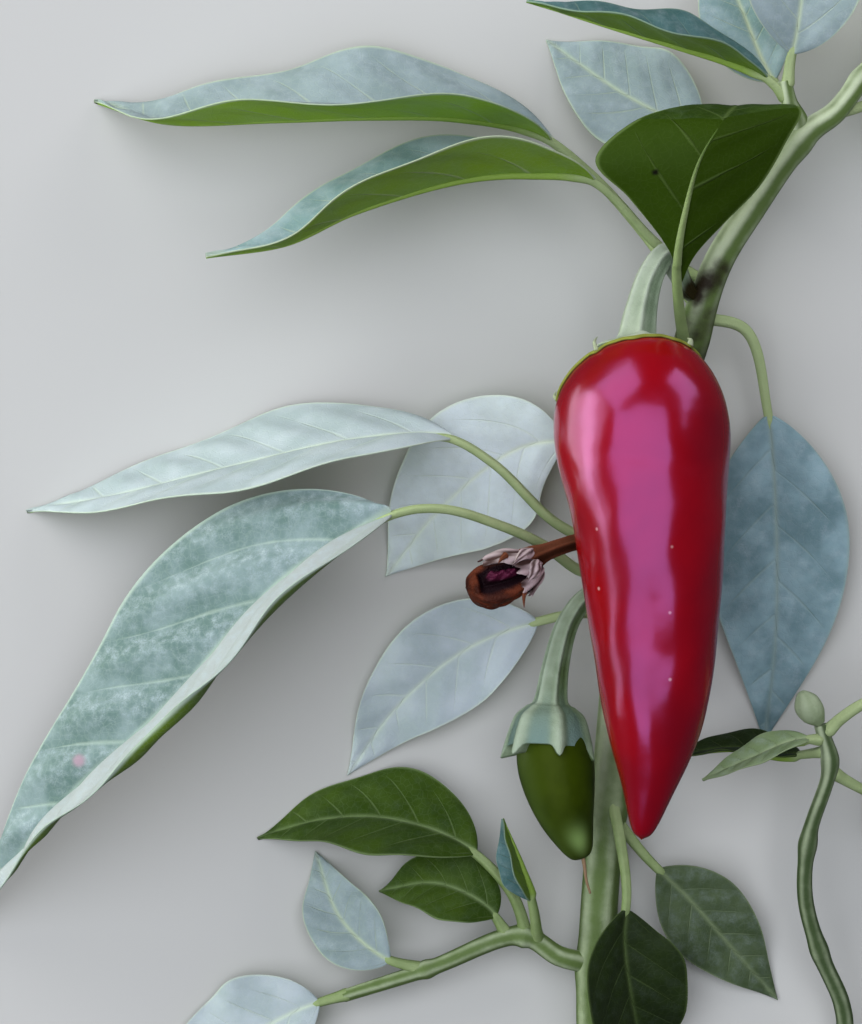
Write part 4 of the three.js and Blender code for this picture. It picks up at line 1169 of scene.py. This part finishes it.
def cap_teeth(skin, normal, angle):
    """Small teeth that stand on the rim and bend back towards the stalk."""
    shells = []
    for place, height, radius in CAP_TEETH:
        column = int(np.abs(angle - place).argmin())
        foot, out = skin[-3, column], normal[-3, column]
        back = unit(skin[-12, column] - skin[-1, column])
        bend = foot + height * (0.35 * out + 0.30 * back)
        tip = foot + height * (0.45 * out + 0.95 * back)
        radius_at = tapered(((0, radius), (0.4, 0.7 * radius), (1, 0.05)))
        rings, ridge = limb_rings([foot - 0.2 * out, bend, tip], radius_at, 24, 14)
        shells.append((rings, {"ridge": 0.8 * ridge, "rim": 0.35 + 0 * ridge}, 0))
    return shells


def cap_shells():
    """The ripe fruit's calyx: a thin cap that lies on the crown out to a rim, lower on the left flank, and
    its teeth.
    The rim is yellowish, with a dark line of painted shade under it, where it meets the skin. The cap's
    underside lies inside the skin."""
    rows, sides = 70, 220
    angle = np.linspace(-math.pi, math.pi, sides, endpoint=False)[None, :]
    bumps = sum(bell(angle, place, 0.09) for place, _, _ in CAP_TEETH)
    uneven = 0.0016 * np.sin(9 * angle + 1) + 0.001 * np.sin(21 * angle)
    rim = RIM_SHARE + RIM_DROP * bell(angle, 1.68, 0.60) + 0.010 * bell(np.abs(angle), math.pi, 0.8)
    out = np.linspace(0.06, 1, rows)[:, None] ** 1.4
    share = out * (rim + 0.004 * bumps + uneven)
    skin, normal = fruit_skin(RIPE_FRUIT, share, angle * np.ones((rows, 1)), ripe_shape)
    lift = 0.30 + 0.10 * np.cos(6 * angle) * (1 - out) + 0.16 * bell(out, 0.96, 0.05)
    outer = skin + normal * lift[..., None]
    ahead = unit(skin[-1:] - skin[-2:-1])
    lip = [skin[-1:] + normal[-1:] * (lift[-1:] * part)[..., None] + 0.08 * ahead
           for part in (0.72, 0.40, 0.10)]
    inner = (skin - 0.25 * normal)[::-1]
    whole = np.ones((1, sides))
    none = np.zeros((1, sides))
    edge = smooth_step(out, 0.84, 0.93) * whole
    ridge = 0.5 + 0.5 * np.cos(6 * angle) * np.ones((rows, 1))
    # The dark mark paints shade in a thin line under the rim, where the lip meets the skin.
    marks = {"ridge": np.concatenate([ridge, none, none, none, ridge]),
             "rim": np.concatenate([edge, whole, whole, whole, edge[::-1]]),
             "scar": np.concatenate([0 * ridge, none, 0.3 * whole, whole, 0 * ridge + 1])}
    return [(np.concatenate([outer, *lip, inner]), marks, 0)] + cap_teeth(outer, normal, angle)


def make_fruit_stalks():
    """The ripe fruit's stalk with its cap, and the green fruit's with its toothed cup."""
    ripe = stalk_rings(RIPE_STALK, 220, 84)
    make_piece("ripe_calyx", [(*ripe, 0), *cap_shells()], [CALYX], ["ripe_fruit_stalk"])
    green = stalk_rings(GREEN_STALK, 240, 120)
    make_piece("green_calyx", [(*green, 0)], [GREEN_CALYX], ["green_fruit_stalk"])


# The withered cup's colours: outside, in its folds, in its hollow, near black there as painted shade, and on
# the ridge inside it
CUP_BROWN = (0.115, 0.024, 0.009)
CUP_FOLD = (0.045, 0.009, 0.004)
HOLLOW_SHADE = (0.008, 0.001, 0.003)
CUP_RIDGE = (0.095, 0.012, 0.038)


def dried_material():
    """The withered cup: brown outside, dark maroon in its hollow, near black there as painted shade, and
    magenta on the ridge inside it, which is also smoother."""
    material, tree, shader = new_material("dried_cup", Specular_IOR_Level=0.15)
    grain = use_group(tree, GRAIN, {"Scale": 420.0, "Speck Share": 0.1})
    ovary = mark(tree, "ovary")
    colour = blend(tree, rise(tree, grain["Broad"], 0.35, 0.65), paint(CUP_BROWN), paint(CUP_FOLD))
    # Painted shade: the hollow is near black.
    colour = blend(tree, rise(tree, mark(tree, "hollow"), 0.05, 0.5), colour, paint(HOLLOW_SHADE))
    colour = blend(tree, rise(tree, ovary, 0.35, 0.9), colour, paint(CUP_RIDGE))
    tree.links.new(colour, shader.inputs["Base Color"])
    tree.links.new(rise(tree, ovary, 0.0, 1.0, 0.62, 0.34), shader.inputs["Roughness"])
    relief(tree, shader, plus(tree, grain["Broad"], times(tree, grain["Fine"], 0.4)), 0.0006)
    return material


# The dried flower: the way that its hollow looks, how thick its sleeve is, and half a petal's thickness
HOLLOW_ANGLE = 0.14
SLEEVE_THICKNESS = 0.16
PETAL_HALF_THICKNESS = 0.09


def hollow_marks(share, angle):
    """Where the cup is open on the side that faces the viewer, and where a ridge runs along its hollow."""
    window = smooth_step(share, 0.12, 0.24) * smooth_step(-share, -0.88, -0.76)
    hollow = smooth_step(-np.abs(angle - HOLLOW_ANGLE), -0.86, -0.52) * window
    ridge_window = smooth_step(share, 0.18, 0.34) * smooth_step(-share, -0.82, -0.64)
    ovary = bell(angle, HOLLOW_ANGLE + 0.20 + 0.08 * np.sin(11 * share), 0.46) * ridge_window
    return hollow, ovary


def slump(share, angle):
    """The cup's upper side sinks in towards its mouth."""
    return 1 - 0.30 * bell(angle, 1.5, 0.8) * smooth_step(share, 0.35, 0.75)


def pod_shape(share, angle):
    """An oval cup with a deep hollow, a rounded ridge along the hollow and wrinkles outside it."""
    hollow, ovary = hollow_marks(share, angle)
    wrinkles = 0.035 * np.cos(11 * angle + 7 * share) + 0.02 * np.cos(17 * angle - 23 * share)
    brim = 0.09 * bell(np.abs(angle - HOLLOW_ANGLE), 0.92, 0.15) * smooth_step(share, 0.15, 0.3)
    folds = 0.07 * np.sin(13 * angle + 30 * share) + 0.05 * np.sin(47 * share - 6 * angle)
    relief_share = wrinkles * (1 - hollow) + brim - 0.72 * hollow + (0.52 + folds) * ovary * hollow
    return slump(share, angle) * (1 + relief_share)


def sleeve_rings():
    """The withered petals, still joined in a thin sleeve round the cup: longest over its upper side,
    pleated by sines along its length and torn at the edge, where it curls away from the cup."""
    rows, sides = 70, 260
    angle = np.linspace(-math.pi, math.pi, sides, endpoint=False)[None, :]
    out = np.linspace(0, 1, rows)[:, None]
    torn = 0.045 * np.sin(9 * angle + 0.6) + 0.03 * np.sin(17 * angle + 2.0) + 0.015 * np.sin(31 * angle)
    end = 0.30 + 0.36 * smooth_step(angle, 0.20, 0.75) * smooth_step(-angle, -2.3, -1.4) + torn
    end = end - 0.08 * smooth_step(-angle, 0.7, 1.2) + 0.06 * bell(np.abs(angle), math.pi, 0.7)
    share = 0.015 + out * end
    skin, normal = fruit_skin(DRIED_POD, share, angle * np.ones((rows, 1)), slump)
    pleat = np.sin(9 * angle + 6 * share) + 0.4 * np.sin(19 * angle - 12 * share)
    pleat = pleat + 0.35 * np.sin(26 * share - 5 * angle) * out
    curl = out ** 5 * (0.10 + 0.20 * np.sin(5 * angle + 1))
    lift = 0.85 + 0.19 * pleat * (0.4 + 0.6 * out) + curl
    outer = skin + normal * lift[..., None]
    inner = (skin + normal * (lift - SLEEVE_THICKNESS)[..., None])[::-1]
    ridge = np.clip(0.10 + 0.95 * pleat, -1, 1)
    return np.concatenate([outer, inner]), {"ridge": np.concatenate([ridge, ridge[::-1]])}


def petal_shell(foot, tip, width, bend, facing):
    """A withered petal: a thin strip along a bent path, arched across and crumpled by crossing waves."""
    rows, columns = 60, 21
    bent = (np.array(foot) + np.array(tip)) / 2 + np.array(bend)
    share = np.linspace(0, 1, rows)[:, None]
    out = np.linspace(-1, 1, columns)[None, :]
    middle = path_at([foot, bent, tip], share[:, 0])
    _, normal, side = frames_along(middle, facing)
    reach = width * (0.35 + 0.65 * np.sin(math.pi * share ** 0.6)) * (1 - 0.93 * share ** 3)
    crumple = 0.10 * np.sin(9 * share + 4 * out) + 0.07 * np.sin(19 * share - 6 * out)
    face = middle[:, None] + off_path(side, normal, out * reach, width * (crumple - 0.35 * out ** 2))
    rings, _ = two_faced(face, normal[:, None], np.full((rows, columns), PETAL_HALF_THICKNESS), {})
    streak = 0.2 + 0.8 * np.sin(7 * out + 3 * share)
    return rings, {"ridge": np.concatenate([streak, streak[:, ::-1]], axis=1)}


def spike_shell(path):
    """A withered tip of the cup's brim, thinning to a point."""
    rings, ridge = limb_rings(path, tapered(((0, 0.55), (0.5, 0.34), (1, 0.05))), 30, 12)
    return rings, {"ridge": ridge}


DRIED_CUP = dried_material()
PETALS = (
    dict(foot=(15.4, -5.6, 25.4), tip=(12.2, -8.0, 28.0), width=1.0, bend=(-0.2, 0.3, 0.7),
         facing=(0.2, 0.5, 0.8)),
    dict(foot=(16.2, -7.2, 25.2), tip=(14.0, -11.2, 25.6), width=1.1, bend=(0.6, 0.2, 0.9),
         facing=(0.4, 0, 0.9)),
)
SPIKES = (
    [(11.2, -6.5, 26.6), (10.6, -7.0, 27.4), (10.1, -7.7, 27.7)],
    [(14.6, -10.8, 24.6), (14.0, -12.6, 25.8), (14.0, -14.4, 26.2)],
)


def make_dried_flower():
    """The withered flower: its cup, and its stalk with the sleeve, two loose petals and two spikes."""
    pod, share, angle = fruit_rings(DRIED_POD, 160, 160, pod_shape)
    hollow, ovary = hollow_marks(share, angle)
    make_piece("dried_cup", [(pod, {"hollow": hollow, "ovary": ovary}, 0)], [DRIED_CUP],
               ["dried_pod"])
    shells = [(*stalk_rings(DRIED_STALK, 200, 80), 0), (*sleeve_rings(), 1)]
    shells += [(*petal_shell(**petal), 1) for petal in PETALS]
    shells += [(*spike_shell(spike), 0) for spike in SPIKES]
    make_piece("dried_flower", shells, [DRIED, PETAL], ["dried_stalk"])


# Buds: the path and the outline as shares of it with the radius there
BUDS = {
    "shoot_bud": dict(path=[(59.4, -32.2, 16.1), (57.6, -29.8, 17), (56.2, -27.3, 17.8)],
                      outline=[(0, 0.8), (0.3, 1.9), (0.65, 2.0), (0.93, 0.9), (1, 0)]),
    "twig_bud": dict(path=[(73, 79, 15), (73.6, 82, 15.4), (74, 85, 16)],
                     outline=[(0, 0.7), (0.35, 1.5), (0.7, 1.3), (1, 0)]),
}


def make_buds():
    """Each bud is an oval with five rounded folds, by a cosine of the angle, that meet at its tip."""
    rows, sides = 80, 60
    angle = np.linspace(0, 2 * math.pi, sides, endpoint=False)[None, :]
    for name, bud in BUDS.items():
        share, radius = outline_at(bud["outline"], rows)
        middle = path_at(bud["path"], share)
        _, normal, side = frames_along(path_at(bud["path"], np.linspace(0, 1, rows)), TOWARDS_VIEWER)
        share = share[:, None]
        fold = 0.10 * (np.abs(np.cos(2.5 * angle + 2 * share)) - 0.6) * smooth_step(share, 0.2, 0.8)
        around = off_path(side, normal, np.cos(angle), np.sin(angle))
        rings = middle[:, None] + (radius[:, None] * (1 + fold))[..., None] * around
        ridge = np.clip(0.5 + 4 * fold, 0, 1) * smooth_step(share, 0.15, 0.5)
        make_piece(name + "_petals", [(rings, {"ridge": ridge}, 0)], [BUD], [name])


# The surface, the lights and the camera

# In metres: how far the floor reaches each way, and how far it lies under the plant
FLOOR_REACH = 3.0
FLOOR_DROP = 0.0003


def make_floor():
    """A plain pale square. It isn't seen in glossy reflections, which it would wash out."""
    material, _, _ = new_material("pale_floor", Roughness=0.75, Base_Color=paint((0.53, 0.53, 0.51)))
    mesh = bpy.data.meshes.new("floor")
    corners = [(across * FLOOR_REACH, along * FLOOR_REACH, -FLOOR_DROP)
               for across, along in ((-1, -1), (1, -1), (1, 1), (-1, 1))]
    mesh.from_pydata(corners, [], [(0, 1, 2, 3)])
    mesh.materials.append(material)
    floor = bpy.data.objects.new("floor", mesh)
    floor.visible_glossy = False
    bpy.context.scene.collection.objects.link(floor)
    return floor


def make_light(name, place, target, width, height, brightness, colour):
    """A rectangular panel aimed at a target. Its power is its brightness times its area times pi."""
    light = bpy.data.lights.new(name, "AREA")
    light.shape = "RECTANGLE"
    light.size = width
    light.size_y = height
    light.energy = brightness * math.pi * width * height
    light.color = colour
    lamp = bpy.data.objects.new(name, light)
    aim = np.array(target) - np.array(place)
    lamp.location = place
    lamp.rotation_euler = Vector(aim).to_track_quat("-Z", "Y").to_euler()
    bpy.context.scene.collection.objects.link(lamp)
    return lamp


def keep_off(lamp, surface):
    """Keeps a lamp's light off one surface, as a black card under the lamp would."""
    carded = bpy.data.collections.new(lamp.name + "_card")
    carded.objects.link(surface)
    lamp.light_linking.receiver_collection = carded
    carded.collection_objects[0].light_linking.link_state = "EXCLUDE"


# The low panels at the left, in metres: the place along the plant and up, the width, the height and the
# brightness. The brightest one has dimmer ones round it, so that its band on the ripe fruit has soft edges.
LOW_PANEL_X = -0.78
LOW_PANELS = {
    "low_left_panel": (0.20, 0.13, 0.56, 0.24, 8.0),
    "low_left_top": (0.20, 0.34, 0.52, 0.16, 2.8),
    "low_left_foot": (0.20, -0.17, 0.56, 0.34, 4.0),
    "low_left_strip": (-0.17, 0.10, 0.18, 0.34, 2.8),
}

# What the panels at the sides are aimed at, and the colours of the lights
LOW_AIM = (0, 0.02, 0.03)
LOW_COLOUR = (0.9, 1.0, 0.74)
TIP_AIM = (0, 0.02, 0)
TIP_COLOUR = (1.0, 0.98, 0.98)
SKY_COLOUR = (0.90, 0.93, 1.0)
WORLD_COLOUR = (0.80, 0.88, 1.0)
WORLD_STRENGTH = 0.07


def make_lights(floor):
    """Two broad soft panels over the camera, one beyond the tips on each side and low ones at the left,
    which light the plant but not the floor."""
    make_light("overhead", (-0.35, 0.20, 1.15), (-0.35, 0.20, 0), 1.80, 1.05, 2.7, SKY_COLOUR)
    make_light("overhead_low", (-0.72, -0.60, 1.15), (-0.72, -0.60, 0), 1.00, 0.50, 2.7, SKY_COLOUR)
    make_light("far_left_panel", (-0.68, 1.00, 0.55), TIP_AIM, 0.95, 0.90, 2.9, TIP_COLOUR)
    make_light("far_right_panel", (0.82, 0.82, 0.46), TIP_AIM, 0.70, 0.62, 2.6, TIP_COLOUR)
    for name, (along, up, width, height, brightness) in LOW_PANELS.items():
        place = (LOW_PANEL_X, along, up)
        keep_off(make_light(name, place, LOW_AIM, width, height, brightness, LOW_COLOUR), floor)
    world = bpy.data.worlds.new("studio")
    world.use_nodes = True
    background = world.node_tree.nodes["Background"].inputs
    background["Color"].default_value = paint(WORLD_COLOUR)
    background["Strength"].default_value = WORLD_STRENGTH
    bpy.context.scene.world = world
    bpy.context.scene.view_settings.view_transform = "Standard"


# The camera, in millimetres: the width of the view at the ripe fruit's depth, how far away that is, the
# camera's height over the surface, and its sensor
FOCAL_PLANE_WIDTH = 129.3
FOCAL_PLANE_DISTANCE = 700.0
CAMERA_HEIGHT = 728.0
SENSOR_WIDTH = 36.0


def make_camera():
    """The camera looks straight down on the middle of the photographed view. Its lens takes in the width
    of that view at the distance of the ripe fruit."""
    camera = bpy.data.cameras.new("photograph_view")
    camera.sensor_fit = "HORIZONTAL"
    camera.sensor_width = SENSOR_WIDTH
    camera.lens = SENSOR_WIDTH * FOCAL_PLANE_DISTANCE / FOCAL_PLANE_WIDTH
    camera.clip_start = 0.01
    viewer = bpy.data.objects.new("photograph_view", camera)
    viewer.location = (np.array([0.0, 0.0, CAMERA_HEIGHT]) - OUTLINE_MIDDLE) * MM
    bpy.context.scene.collection.objects.link(viewer)
    bpy.context.scene.camera = viewer


make_camera()
make_stems()
make_leaves()
make_fork_leaf()
make_fruit()
make_fruit_stalks()
make_dried_flower()
make_buds()
make_lights(make_floor())
